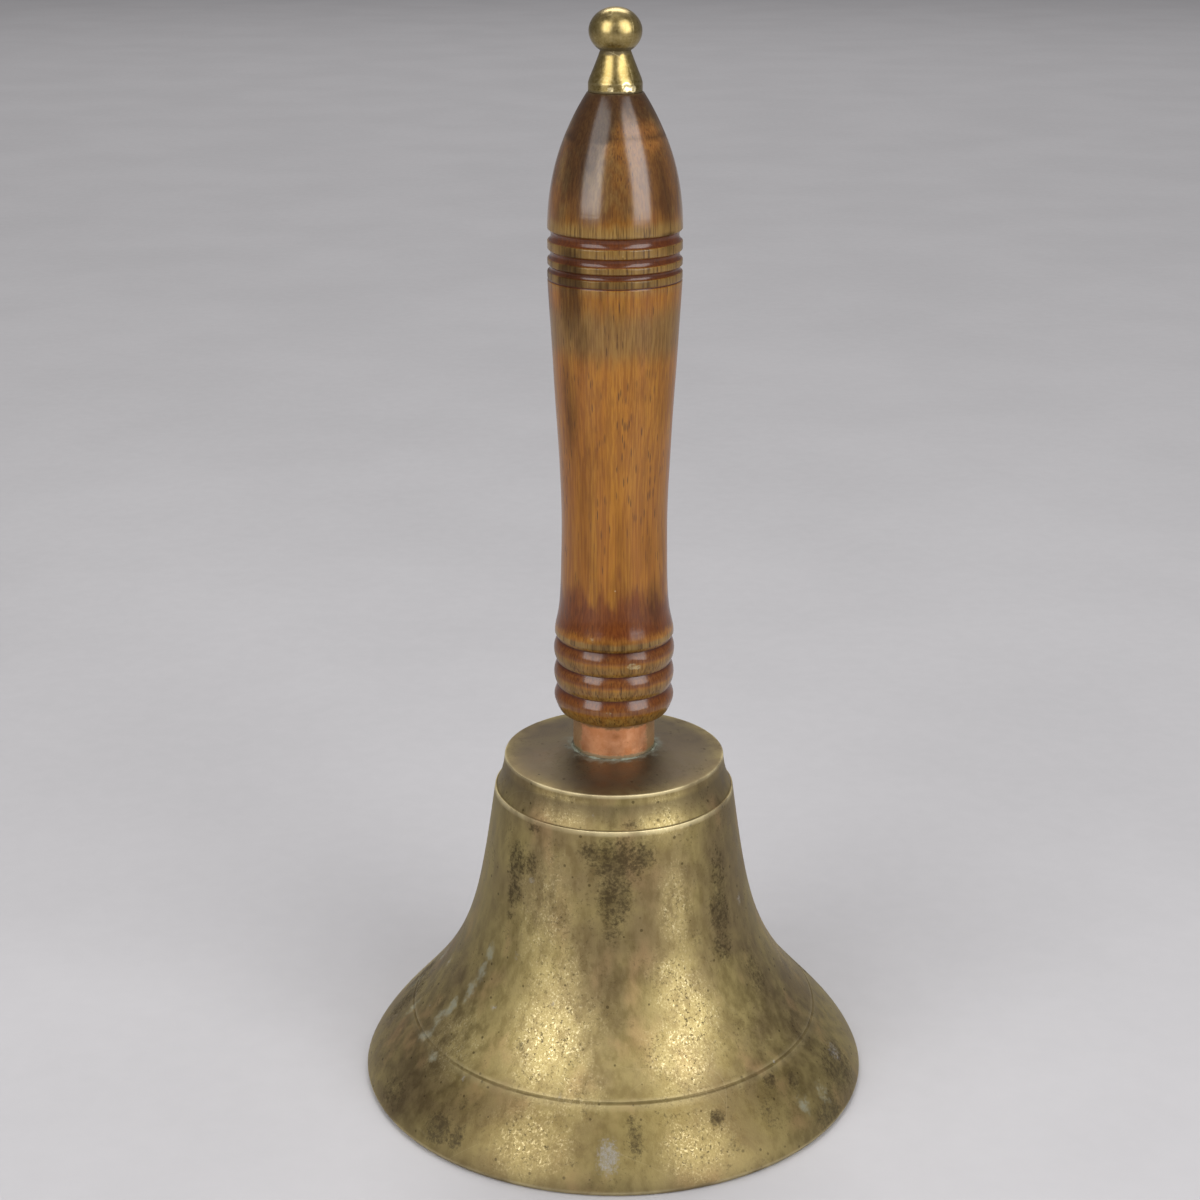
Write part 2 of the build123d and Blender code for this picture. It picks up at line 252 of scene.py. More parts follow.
def strewn(seed, count, sector, heights, sizes, strengths):
    # marks for the sides that the placed ones leave bare, at seeded places
    rng = np.random.default_rng(seed)
    marks = []
    for n in range(count):
        wide = rng.uniform(*sizes)
        marks.append((
            rng.uniform(*sector), rng.uniform(*heights), wide, wide * rng.uniform(0.6, 1.9),
            rng.uniform(*strengths),
        ))
    return marks


# Bell shell
bell = {
    "mouthRadius": 75.0 * mm,
    "lipRound": 1.5 * mm,
    "stepHeight": 91.3 * mm,
    "stepRadius": 34.7 * mm,
    "waistTaper": 0.139,
    "flareReach": 28.9 * mm,
    "flarePower": 1.72,
    "ledge": 0.5 * mm,
    "crownEdge": (31.8 * mm, 101.0 * mm),
    "shoulderHollow": 0.5 * mm,
    "seat": (11.8 * mm, 103.4 * mm),
    "bore": 3.3 * mm,
    "underside": 97.0 * mm,
    "innerRound": 6.0 * mm,
    "waistWall": 3.2 * mm,
    "bowExtra": 2.8 * mm,
    "bowHeight": 14.0 * mm,
    "bowReach": 20.0 * mm,
    "lineHeight": 20.6 * mm,
    "lineWidth": 0.24 * mm,
    "lineDepth": 0.3 * mm,
    "wear": 0.16 * mm,
    "spacing": 0.05 * mm,
    "bendShare": 0.7,
    "around": 360,
    "stations": 262,
    "outsideSteps": 700,
    "bandSteps": 40,
    "lipSteps": 12,
    "roofSteps": 24,
    "uneven": 0.05 * mm,
    "waves": (3, 14, 9, 0.12),   # seed, how many, most round the axis, fastest up it
    "skin": (12 * mm, 30 * mm),   # radii between which the relief grows
    "rimHeights": (1 * mm, 6 * mm),   # heights over which it grows up from the rim
    "dents": [
        (-62, 38, 3.0, 0.12), (-118, 12, 2.5, 0.10), (-84, 9, 3.5, 0.14), (-70, 13, 2.2, 0.12),
        (20, 30, 4.0, 0.20), (95, 18, 5.0, 0.22), (150, 50, 4.0, 0.15), (210, 8, 3.0, 0.18),
    ],
}


def bellRadius(z):
    # outside radius at height z: the waist's straight lean plus a flare that dies away
    # upwards as exp(-(z / reach) ** power)
    b = bell
    heights = np.maximum(np.stack([z, np.full_like(z, b["lipRound"])]), 0)
    flare, lipFlare = np.exp(-np.power(heights / b["flareReach"], b["flarePower"]))
    lean = b["waistTaper"]
    spread = b["mouthRadius"] - b["stepRadius"] - lean * (b["stepHeight"] - b["lipRound"])
    return b["stepRadius"] + lean * (b["stepHeight"] - z) + spread / lipFlare * flare


def bellPath():
    # outside upwards, over the crown, down the bore, then the inside down to the rim
    b = bell
    z = np.linspace(b["lipRound"], b["stepHeight"], b["outsideSteps"])
    outside = np.column_stack([bellRadius(z) - b["lineDepth"] * hump(z, b["lineHeight"], b["lineWidth"]), z])
    lipCentre = (b["mouthRadius"] - b["lipRound"], b["lipRound"])
    lip = arcPoints(lipCentre, b["lipRound"], -90, 0, b["lipSteps"])
    foot = np.array([b["stepRadius"] - b["ledge"], b["stepHeight"]])
    top = np.array(b["crownEdge"])
    t = np.linspace(0, 1, b["bandSteps"])[:, None]
    band = foot + (top - foot) * t
    band[:, 0] -= b["shoulderHollow"] * 4 * (t * (1 - t))[:, 0]
    crown = np.array([b["seat"], (b["bore"], b["seat"][1]), (b["bore"], b["underside"])])
    slope = np.gradient(bellRadius(z), z)
    wall = b["waistWall"] + b["bowExtra"] * hump(z, b["bowHeight"], b["bowReach"])
    reach = wall / np.sqrt(1 + slope**2)
    inside = np.column_stack([bellRadius(z) - reach, z + slope * reach])
    inside = inside[(inside[:, 1] > 0) & (inside[:, 1] < b["underside"] - b["innerRound"])][::-1]
    corner = (inside[0, 0] - b["innerRound"], b["underside"] - b["innerRound"])
    roof = arcPoints(corner, b["innerRound"], 90, 0, b["roofSteps"])
    rim = np.array([(inside[-1, 0], 0)])
    path = np.vstack([lip, outside[1:], band, crown, roof, inside[1:], rim])
    return finishedPath(path, b, closed=True)


def bellRelief(a, r, z, piece):
    # a hand-finished casting: slow unevenness, fading at the seat and rim, and a few dents
    return smoothStep(*piece["rimHeights"], z) * handWorked(a, r, z, piece)


# marks: angle in degrees, height, half width and half height in mm, strength
sootMarks = [
    (-88, 83, 9.5, 8, 1.0), (-100, 85, 5, 4, 0.9), (-78, 84, 5, 5, 0.95), (-90, 72, 6, 9, 0.95),
    (-91, 63, 3.5, 6, 0.7), (-130, 89, 3, 2, 0.9), (-139, 77, 4.2, 6.5, 1.0), (-130, 78, 2.6, 4.5, 0.9),
    (-138, 68, 3.5, 5, 1.0), (-139, 61, 1.8, 1.8, 0.8), (-37, 74, 5, 10, 0.7), (-40, 62, 5.5, 8, 0.95),
    (-42, 52, 5, 5, 0.85), (-82, 93, 3.5, 1.6, 0.85), (-120, 30, 1.6, 1.4, 0.9), (-130, 14, 1.5, 1.5, 0.8),
    (-134, 7, 6, 4.5, 1.0), (-128, 7, 3, 4, 0.9), (-153, 7, 8, 5, 0.8), (-64, 15, 2.8, 2.2, 1.0),
    (-85, 13, 3, 5, 0.8), (-86, 17, 1.6, 1.6, 0.8), (-45, 18, 3.4, 2, 1.0), (-38, 15.4, 3.2, 2.6, 1.0),
    (-19, 9.4, 10, 7, 1.0), (-32, 4, 9, 4.5, 1.0), (-79, 31, 4, 4, 0.45), (-28, 40, 5, 8, 0.75),
    (-110, 62, 4, 7, 0.4), (-62, 8, 3, 2, 0.5), (-92, 50, 4, 6, 0.4), (-55, 58, 3, 6, 0.5),
    (-50, 12, 4, 5, 0.6), (-24, 22, 5, 7, 0.6), (-72, 80, 3, 4, 0.4), (-118, 84, 3, 5, 0.45),
]
bloomMarks = [
    (-91.5, 9.5, 3.6, 4.6, 0.95), (-129, 73.5, 1.3, 1.2, 0.9), (-131.6, 51, 1.2, 1.1, 0.9),
    (-135, 36, 1.2, 1.1, 0.9), (-134, 19, 1.2, 1.2, 0.8), (-23.6, 61, 1.8, 2.2, 0.8),
    (-112, 42, 1.1, 1.0, 0.7), (-16, 12, 4, 3, 0.7), (-100, 95, 1.2, 1.0, 0.7), (-105, 21, 1.1, 1, 0.6),
]
verdigrisMarks = [
    (-146, 48, 2.2, 3.6, 0.9), (-147, 42, 2.2, 3.6, 0.85), (-149, 36, 2.4, 3.8, 0.8),
    (-153.6, 30, 2.6, 3.2, 0.9), (-156, 26, 2.6, 2.8, 0.8), (-155, 22, 2.2, 2.2, 0.75),
    (171, 19, 2, 4, 0.7), (-173, 20, 2, 4, 0.7), (-157, 20, 3, 1.6, 0.7), (-148, 19, 2.6, 1.8, 0.8),
    (-39, 10, 3, 3, 0.7), (-31, 9, 3, 4, 0.6),
]
# the placed rubbed marks are partly a painted highlight: gold on the bright columns either side of the front
# of the flare and the band; the strewn ones are rubbed wear
rubbedAndHighlightMarks = [
    (-110, 33, 12, 13, 1.0), (-113, 49, 9, 9, 0.7), (-110, 11, 12, 7, 0.85), (-66, 46, 7, 9, 0.95),
    (-62, 38, 8, 9, 1.0), (-70, 29, 9, 8, 0.9), (-71, 10, 10, 7, 0.9), (-63, 68, 5, 12, 0.7),
    (-65, 94, 8, 5, 0.9), (-118, 96, 9, 4, 0.8), (-143, 24, 9, 8, 0.6), (-121, 66, 8, 16, 0.55),
    (-100, 22, 8, 6, 0.6),
]
sootMarks += strewn(21, 44, (5, 178), (4, 96), (2.5, 8), (0.6, 1.0))
bloomMarks += strewn(22, 16, (0, 190), (6, 92), (1.1, 2.6), (0.6, 0.95))
verdigrisMarks += strewn(23, 22, (10, 175), (8, 60), (1.6, 3.8), (0.6, 0.95))
rubbedAndHighlightMarks += strewn(24, 16, (0, 180), (8, 90), (6, 12), (0.5, 0.95))
strikeMarks = [(0, 31, 9, 5, 1.0), (180, 31, 9, 5, 1.0), (24, 31, 7, 4, 0.6), (158, 32, 7, 4, 0.6)]
bellWear = {
    "insideDepth": (0.8 * mm, 2.2 * mm), "roofRise": 1 * mm, "seatGreen": 0.75, "seatReach": 3.4 * mm,
    "lowHeights": (28 * mm, 14 * mm), "lowFront": (0.2, 0.75), "crownSpan": (-0.4 * mm, 0.8 * mm),
}


def bellStains(a, r, z):
    # where the brass is sooty, whitened, green, rubbed bright (the placed marks partly a painted highlight),
    # struck by the clapper, inside, under painted shade low at the front, or on the crown
    w = bellWear
    crownFoot = bell["crownEdge"][1]
    outside = 1 - smoothStep(*w["insideDepth"], bellRadius(z) - r) * (z < bell["underside"] + w["roofRise"])
    seat = hump(r, bell["seat"][0], w["seatReach"]) * (z > crownFoot)
    return {
        "soot": patches(a, r, z, sootMarks) * outside,
        "bloom": patches(a, r, z, bloomMarks) * outside,
        "verdigris": np.maximum(patches(a, r, z, verdigrisMarks) * outside, w["seatGreen"] * seat),
        "rubbed": patches(a, r, z, rubbedAndHighlightMarks) * outside,
        "struck": patches(a, r, z, strikeMarks) * (1 - outside),
        "inside": 1 - outside,
        # painted shade: the lower part of the flare, on the side facing the front
        "low": smoothStep(*w["lowHeights"], z) * smoothStep(*w["lowFront"], -np.sin(a)) * outside,
        "crown": smoothStep(*w["crownSpan"], z - crownFoot) * outside,
    }


bellShell = turnedSurface("bellShell", bellPath(), bell, True, bellRelief, bellStains)
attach(bellShell, "bell")
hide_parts("bell_shell")
print("bell shell turned")


# Ferrule
ferruleSizes = {
    "radius": 11.8 * mm, "inner": 10.45 * mm, "foot": 103.4 * mm, "top": 113.6 * mm,
    "wear": 0.12 * mm, "spacing": 0.03 * mm, "bendShare": 0.7, "around": 220, "stations": 90,
    "skin": (11.0 * mm, 11.5 * mm), "thinned": 0.02 * mm, "uneven": 0.035 * mm, "waves": (8, 10, 7, 0.3),
    "dents": [(-88, 109.5, 1.2, 0.12), (-60, 106, 1.0, 0.08)],
    "greenReach": 1.4 * mm, "sootReach": 1.6 * mm, "green": 0.9, "topSoot": 0.8, "sideShade": 0.75,
    # painted shade: the sides are darkened away from the front, which is 91 degrees before zero
    "shadeFreeAt": 91, "sideShadeSpan": (0.62, 1.05),   # degrees before zero, radians either side
}


def ferrulePath():
    # a plain tube, outside upwards and inside downwards
    s = ferruleSizes
    corners = [(s["radius"], s["foot"]), (s["radius"], s["top"]), (s["inner"], s["top"]),
               (s["inner"], s["foot"])]
    return finishedPath(np.array(corners), s, closed=True)


def ferruleRelief(a, r, z, piece):
    # thin tube, a little out of round, with a dimple at the front
    return handWorked(a, r, z, piece) - smoothStep(*piece["skin"], r) * piece["thinned"]


def ferruleStains(a, r, z):
    # dark with soot at the top, painted shade down the sides away from the front, green in the corner with
    # the crown
    s = ferruleSizes
    shaded = smoothStep(*s["sideShadeSpan"], np.abs(acrossTo(a, 1, -s["shadeFreeAt"])))
    top = s["topSoot"] * hump(z, s["top"], s["sootReach"])
    return {
        "soot": np.maximum(s["sideShade"] * shaded, top),
        "verdigris": s["green"] * hump(z, s["foot"], s["greenReach"]),
    }


ferrule = turnedSurface("ferruleSleeve", ferrulePath(), ferruleSizes, True, ferruleRelief, ferruleStains)
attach(ferrule, "bell")
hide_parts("ferrule")
print("ferrule rolled")


# Green crust in the corner between ferrule and crown
crustSizes = {
    "radius": 12.0 * mm, "height": 103.35 * mm, "reach": 0.5 * mm, "rise": 0.32 * mm,
    "around": 300, "stations": 22, "lump": 0.11 * mm, "lumpWaves": (31, 26, 40, 1.5),
    "sunk": 0.06 * mm, "pale": 0.5, "paleChange": 0.4, "paleWaves": (33, 12, 16, 1),
}


def crustPath():
    # an oval cross-section, walked with the solid on its left
    s = crustSizes
    t = np.linspace(0, 2 * pi, s["stations"], endpoint=False)
    return np.column_stack([s["radius"] + s["reach"] * np.cos(t), s["height"] + s["rise"] * np.sin(t)])


def crustRelief(a, r, z, piece):
    # lumps that come and go round the corner
    return piece["lump"] * waves(a, z / mm, *piece["lumpWaves"]) - piece["sunk"]


def crustStains(a, r, z):
    s = crustSizes
    return {"bloom": np.clip(s["pale"] + s["paleChange"] * waves(a, z / mm, *s["paleWaves"]), 0, 1)}


crust = turnedSurface("ferruleCrust", crustPath(), crustSizes, True, crustRelief, crustStains)
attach(crust, "bell")
print("crust laid")


# Handle
handleSizes = {
    "foot": 113.6 * mm, "top": 289.2 * mm, "tenonFoot": 103.45 * mm, "tenonRadius": 10.4 * mm,
    "bore": 3.3 * mm, "footRadius": 12.7 * mm, "beadRadius": 17.2 * mm, "grooveRadius": 16.15 * mm,
    "footSwell": (2.6 * mm, 1.3 * mm), "crestEase": (0.5 * mm, 3.9 * mm),
    "footRise": 6.0 * mm, "footFall": 3.2 * mm, "beadPitch": 7.2 * mm, "beads": 2,
    "lipRadius": 16.95 * mm, "lipRise": 1.3 * mm,
    "waistRadius": 14.84 * mm, "waistRise": 30.0 * mm,
    "aboveLip": [(2.02, 1.6), (1.05, 6.4), (0.48, 12.0)],   # mm wider than the waist, mm above the lip
    "belowCoves": [(0.62, 50), (1.97, 26)],   # mm wider than the waist, mm below the coves
    "collar": 18.3 * mm, "collarEase": (0.42 * mm, 8 * mm),
    "coves": [(1.8, 1.9, 0.7), (1.5, 2.6, 0.8), (2.2, 3.2, 0.95)],   # land, cove height, cove depth
    "coveDeepest": 0.6,   # how far up a cove it is deepest
    "tickHeight": 0.6 * mm, "tickDepth": 0.2 * mm, "tickSlope": 0.1 * mm,
    "noseHeight": 35.7 * mm, "noseTop": 7.5 * mm, "noseBelly": 2.6 * mm,
    "wear": 0.12 * mm, "spacing": 0.05 * mm, "bendShare": 1.0, "around": 240, "stations": 400,
    "steps": {"foot": 60, "bead": 50, "grip": 300, "cove": 30, "nose": 120},
    "skin": (12 * mm, 14 * mm), "uneven": 0.05 * mm, "waves": (5, 16, 6, 0.25),
    "dents": [
        (-73, 133.5, 1.3, 0.45), (-66, 133.2, 1.0, 0.30), (-112, 141, 0.8, 0.12), (-84, 249.2, 0.8, 0.25),
        (-40, 265, 1.4, 0.12), (60, 180, 2.5, 0.2), (140, 225, 2.0, 0.18), (-95, 120, 1.2, 0.12),
    ],
}
covesTall = sum(land + height for land, height, depth in handleSizes["coves"])   # in mm


def handlePath():
    # tenon, swelling foot, beads, grip, tool line, coves and nose, upwards along the outside
    s = handleSizes
    steps = s["steps"]
    waist = s["waistRadius"]
    collar = s["collar"]
    foot = s["foot"]
    crest = foot + s["footRise"]
    groove = crest + s["footFall"]
    tenon = [(s["bore"], s["tenonFoot"]), (s["tenonRadius"], s["tenonFoot"]), (s["tenonRadius"], foot)]
    swelling = [
        (s["footRadius"], foot),
        (s["footRadius"] + s["footSwell"][0], foot + s["footSwell"][1]),
        (s["beadRadius"] - s["crestEase"][0], foot + s["crestEase"][1]),
        (s["beadRadius"], crest),
        (s["grooveRadius"], groove),
    ]
    parts = [np.array(tenon), throughPoints(swelling, steps["foot"])]
    for n in range(s["beads"]):
        low = groove + n * s["beadPitch"]
        parts.append(arcThrough(
            (s["grooveRadius"], low), (s["beadRadius"], low + s["beadPitch"] / 2),
            (s["grooveRadius"], low + s["beadPitch"]), steps["bead"],
        ))
    lip = groove + s["beads"] * s["beadPitch"] + s["lipRise"]
    land = s["top"] - s["noseHeight"]
    z = land - covesTall * mm
    gripTop = z - s["tickHeight"]
    grip = [(s["lipRadius"], lip)]
    grip += [(waist + wider * mm, lip + rise * mm) for wider, rise in s["aboveLip"]]
    grip.append((waist, lip + s["waistRise"]))
    grip += [(waist + wider * mm, gripTop - drop * mm) for wider, drop in s["belowCoves"]]
    grip += [(collar - s["collarEase"][0], gripTop - s["collarEase"][1]), (collar, gripTop)]
    parts.append(throughPoints(grip, steps["grip"]))
    tick = collar - s["tickDepth"]
    parts.append(np.array([(tick, gripTop + s["tickSlope"]), (tick, z - s["tickSlope"]), (collar, z)]))
    for landHeight, height, depth in s["coves"]:
        low = z + landHeight * mm
        z = low + height * mm
        deepest = (collar - depth * mm, low + height * mm * s["coveDeepest"])
        parts.append(arcThrough((collar, low), deepest, (collar, z), steps["cove"]))
    belly = (collar - s["noseBelly"], land + s["noseHeight"] / 2)
    parts.append(arcThrough((collar, land), belly, (s["noseTop"], s["top"]), steps["nose"]))
    parts.append(np.array([(s["bore"], s["top"])]))
    return finishedPath(np.vstack(parts), s, closed=True)


chipMarks = [
    (-73, 133.6, 1.9, 1.2, 0.95), (-67, 133.2, 1.3, 1.0, 0.8), (-84, 249.2, 1.0, 0.8, 0.7),
    (-112, 141, 1.2, 1.0, 0.7), (-95, 120, 1.6, 1.2, 0.5), (130, 126, 2, 1.4, 0.9), (60, 180, 2.5, 2, 0.4),
]
grimeMarks = [
    (-132, 238, 5, 14, 0.8), (-122, 226, 3, 9, 0.5), (-95, 236, 8, 9, 0.4), (-60, 236, 6, 8, 0.3),
    (-128, 272, 7, 12, 0.75), (-112, 280, 4, 8, 0.5), (-84, 262, 3, 9, 0.4), (-40, 262, 4, 12, 0.55),
    (-140, 205, 5, 20, 0.5), (-45, 150, 6, 10, 0.5), (-90, 139, 16, 3, 0.5), (40, 232, 8, 12, 0.8),
    (110, 215, 7, 16, 0.7), (175, 236, 8, 10, 0.7), (75, 160, 8, 12, 0.5),
]
goldMarks = [
    (-88, 142, 9, 4, 0.6), (-55, 141, 5, 6, 0.6), (-46, 279, 5, 4.5, 1.0), (-72, 266, 4, 6, 0.35),
    (-104, 264, 4, 7, 0.3), (-60, 258, 6, 5, 0.5), (-96, 276, 3, 4, 0.5), (20, 266, 6, 8, 0.8),
    (120, 272, 6, 6, 0.8), (200, 262, 5, 7, 0.6),
]
handleWear = {
    # heights and reaches in mm, from the feature that each is named after
    "beadEdge": 0.4, "redOfBead": (0.38, 0.72), "redStart": (2, 6), "redFull": 8,
    "redReach": 26, "redRagged": 7, "redWaves": (37, 9, 20, 0.6),
    "landEdge": 0.2, "coveDepths": (0.12, 0.42), "handledBelow": 13, "handledReach": 8,
    "tipDark": (20, 34), "paleAbove": 6.5, "paleBelow": 1, "knobShadowLine": (0.9, 0.3),
    "paleLip": (1.7, 1.3), "toolLine": (278.4, 0.4), "noseSpan": (-0.5, 7),
    # how strong each is at its strongest
    "grip": 0.85, "beads": 0.95, "handled": 0.9, "tip": 0.8, "line": 0.35, "landGrime": 0.3,
    "beadGrime": 0.42, "redLess": 0.22, "pale": 0.9, "beadOlive": 0.6, "landOlive": 0.75,
}


def handleStains(a, r, z):
    # shares of the stain's depths up the handle, with the placed chips and grime, and a painted shadow line
    # under the knob
    s = handleSizes
    w = handleWear
    up = (z - s["foot"]) / mm
    pitch = s["beadPitch"] / mm
    noseFoot = (s["top"] - s["noseHeight"] - s["foot"]) / mm
    covesFoot = noseFoot - covesTall
    firstGroove = (s["footRise"] + s["footFall"]) / mm
    lip = firstGroove + s["beads"] * pitch
    upBead = np.where(up < firstGroove, up / firstGroove, (up - firstGroove) / pitch % 1)
    onBeads = 1 - smoothStep(lip, lip + w["beadEdge"], up)
    redBeads = onBeads * smoothStep(*w["redOfBead"], upBead)
    redTop = lip + w["redReach"] + w["redRagged"] * waves(a, z / mm, *w["redWaves"])
    redGrip = smoothStep(*w["redStart"], up - lip) * (1 - smoothStep(lip + w["redFull"], redTop, up))
    carved = (up > covesFoot) * (up < noseFoot + w["landEdge"])
    coves = carved * smoothStep(*w["coveDepths"], (s["collar"] - r) / mm)
    lands = carved * (1 - coves)
    paleBand = smoothStep(w["paleAbove"], 0, up - noseFoot) * smoothStep(-w["paleBelow"], 0, up - noseFoot)
    paleLip = hump(up - lip, *w["paleLip"])
    grimeAndShadow = w["tip"] * smoothStep(*w["tipDark"], up - noseFoot) + patches(a, r, z, grimeMarks)
    # a painted shadow line round the top of the handle, just under the knob
    grimeAndShadow += smoothStep(*w["knobShadowLine"], (s["top"] - z) / mm) + w["line"] * hump(z / mm, *w["toolLine"])
    grimeAndShadow += w["landGrime"] * lands + onBeads * (w["beadGrime"] - w["redLess"] * redBeads)
    olive = w["pale"] * (paleBand + paleLip) + w["landOlive"] * lands
    olive += w["beadOlive"] * onBeads * (1 - redBeads)
    return {
        "red": np.clip(w["grip"] * redGrip + w["beads"] * redBeads, 0, 1),
        "cove": coves,
        "handled": w["handled"] * hump(up - covesFoot, -w["handledBelow"], w["handledReach"]),
        "gold": patches(a, r, z, goldMarks),
        "dark": np.clip(grimeAndShadow, 0, 1),
        "olive": np.clip(olive, 0, 1),
        "nose": smoothStep(*w["noseSpan"], up - noseFoot),
        "chipped": patches(a, r, z, chipMarks),
    }


# wood moves and wears: slow unevenness, a chip in the top bead and knocks
handle = turnedSurface("turnedHandle", handlePath(), handleSizes, True, handWorked, handleStains)
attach(handle, "bell")
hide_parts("handle")
print("handle turned")


# Finial
finialSizes = {
    "foot": 289.2 * mm, "radius": 7.2 * mm, "baseHeight": 3.0 * mm, "coneHeight": 7.6 * mm,
    "neck": 4.0 * mm, "knobRadius": 7.04 * mm, "knobHalf": 6.05 * mm, "knobSteps": 120,
    "chamfer": (0.35 * mm, 0.6 * mm), "threadRadius": 3.03 * mm, "threadEnd": 296.5 * mm,
    "poleGap": 0.02 * mm, "wear": 0.13 * mm, "spacing": 0.03 * mm, "bendShare": 0.8,
    "around": 220, "stations": 220,
    "skin": (3.1 * mm, 3.6 * mm), "uneven": 0.03 * mm, "waves": (11, 14, 6, 0.9),
    "dents": [
        (-66, 291.0, 0.75, 0.32), (-72, 290.0, 0.5, 0.22), (-58, 290.6, 0.55, 0.25),
        (-100, 290.2, 0.5, 0.15), (-48, 290.2, 0.5, 0.2), (-125, 308.6, 0.7, 0.10),
        (-110, 309.3, 0.5, 0.12), (30, 304, 1.2, 0.15), (120, 291, 0.8, 0.3), (170, 307, 0.9, 0.12),
    ],
    "neckSoot": 0.8, "neckReach": 1.5 * mm, "footShadowReach": 0.8 * mm,
    "bareMarks": [(-66, 291, 1.4, 1.4, 1.0), (-50, 290.4, 1.2, 1, 0.9), (-100, 290.4, 1.2, 0.8, 0.7)],
}


def finialPath():
    # from the blind end of the thread, out over the foot, in along the cone, round the knob
    s = finialSizes
    foot = s["foot"]
    baseTop = foot + s["baseHeight"]
    inward, half = s["chamfer"]
    neckAngle = np.arccos(s["neck"] / s["knobRadius"])
    a = np.linspace(-neckAngle, pi / 2, s["knobSteps"])
    centre = baseTop + s["coneHeight"] + s["knobHalf"] * np.sin(neckAngle)
    knob = np.column_stack([s["knobRadius"] * np.cos(a), centre + s["knobHalf"] * np.sin(a)])
    base = np.array([
        (0, s["threadEnd"]), (s["threadRadius"], s["threadEnd"]), (s["threadRadius"], foot),
        (s["radius"], foot), (s["radius"], baseTop - half), (s["radius"] - inward, baseTop + half),
    ])
    path = finishedPath(np.vstack([base, knob]), s, closed=False)
    path[:, 0] = np.maximum(path[:, 0], s["poleGap"])
    return path


def finialStains(a, r, z):
    # dirt under the knob, a painted shadow line round the foot where it meets the wood, and knocked bare at
    # the front of the foot
    s = finialSizes
    neck = s["foot"] + s["baseHeight"] + s["coneHeight"]
    # the second hump is a painted shadow line round the foot
    dirt = s["neckSoot"] * hump(z, neck, s["neckReach"]) + hump(z, s["foot"], s["footShadowReach"])
    return {"soot": np.clip(dirt, 0, 1), "rubbed": patches(a, r, z, s["bareMarks"])}


# knocks round the foot and on the knob, as on a knob that has been dropped
finial = turnedSurface("finialKnob", finialPath(), finialSizes, False, handWorked, finialStains)
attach(finial, "bell")
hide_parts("finial")
print("finial turned")


# Materials
class Wiring:
    # a shader tree being wired: each call adds a node and gives its output. spans and
    # textures given by name are looked up in the finish's own dictionary
    def __init__(self, tree, look=None):
        self.tree = tree
        self.look = look

    def feed(self, value, socket):
        if isinstance(value, bpy.types.NodeSocket):
            self.tree.links.new(value, socket)
        else:
            socket.default_value = value

    def node(self, kind, settings=None, **inputs):
        # inputs by name (spaces as _, or i0, i1 by number): a value or another node's output
        made = self.tree.nodes.new(kind)
        for key, value in (settings or {}).items():
            setattr(made, key, value)
        for key, value in inputs.items():
            numbered = key[0] == "i" and key[1:].isdigit()
            self.feed(value, made.inputs[int(key[1:]) if numbered else key.replace("_", " ")])
        return made

    def named(self, value):
        return self.look[value] if isinstance(value, str) else value

    def calc(self, operation, first, second=0.0, third=0.0):
        settings = {"operation": operation, "use_clamp": operation in ("ADD", "SUBTRACT", "MULTIPLY_ADD")}
        return self.node("ShaderNodeMath", settings, i0=first, i1=second, i2=third).outputs[0]

    def times(self, first, *others):
        for other in others:
            first = self.calc("MULTIPLY", first, other)
        return first

    def most(self, first, *others):
        for other in others:
            first = self.calc("MAXIMUM", first, other)
        return first

    def heaped(self, weights, start=0.0, **masks):
        # each mask times its own named weight, added on one by one and kept between 0 and 1
        for name, mask in masks.items():
            start = self.calc("MULTIPLY_ADD", mask, self.look[weights][name], start)
        return start

    def ease(self, value, span):
        # a span is low, high and the shares given below and above them, 0 and 1 if left out
        node = self.node("ShaderNodeMapRange", {"interpolation_type": "SMOOTHSTEP"}, Value=value)
        for socket, end in zip(("From Min", "From Max", "To Min", "To Max"), (*self.named(span), 0, 1)):
            node.inputs[socket].default_value = end
        return node.outputs["Result"]

    def stretched(self, vector, scale, turn=(0, 0, 0)):
        turn = [radians(t) for t in turn]
        return self.node("ShaderNodeMapping", None, Vector=vector, Scale=scale, Rotation=turn).outputs[0]

    def noise(self, texture, vector=None):
        # a texture is scale, detail, roughness, distortion and stretch up the axis, of which
        # the later ones may be left out
        given = self.named(texture)
        scale, detail, rough, bend, tall = (*given, *(3.0, 0.55, 0.0, 1.0)[len(given) - 1:])
        vector = self.place if vector is None else vector
        vector = vector if tall == 1 else self.stretched(vector, (1, 1, tall))
        settings = {"Scale": scale, "Detail": detail, "Roughness": rough, "Distortion": bend}
        return self.node("ShaderNodeTexNoise", None, Vector=vector, **settings).outputs["Fac"]

    def veil(self, name):
        # a mask that comes and goes: a texture and the span over which it shows
        texture, span = self.look[name]
        return self.ease(self.noise(texture), span)

    def blend(self, share, below, above, kind="MIX"):
        node = self.node("ShaderNodeMix", {"data_type": "RGBA", "blend_type": kind}, i0=share)
        for index, colour in ((6, below), (7, above)):
            joined = isinstance(colour, bpy.types.NodeSocket)
            self.feed(colour if joined else (*colour, 1), node.inputs[index])
        return node.outputs[2]


def newGroup(name, takes, gives):
    # an empty node group: its numbered inputs with their values, a Vector input, one output
    tree = bpy.data.node_groups.new(name, "ShaderNodeTree")
    tree.interface.new_socket("Vector", in_out="INPUT", socket_type="NodeSocketVector")
    for socket, value in takes.items():
        made = tree.interface.new_socket(socket, in_out="INPUT", socket_type="NodeSocketFloat")
        made.default_value = value
    tree.interface.new_socket(gives, in_out="OUTPUT", socket_type="NodeSocketFloat")
    wiring = Wiring(tree)
    return wiring, tree.nodes.new("NodeGroupInput").outputs, tree.nodes.new("NodeGroupOutput").inputs[0]


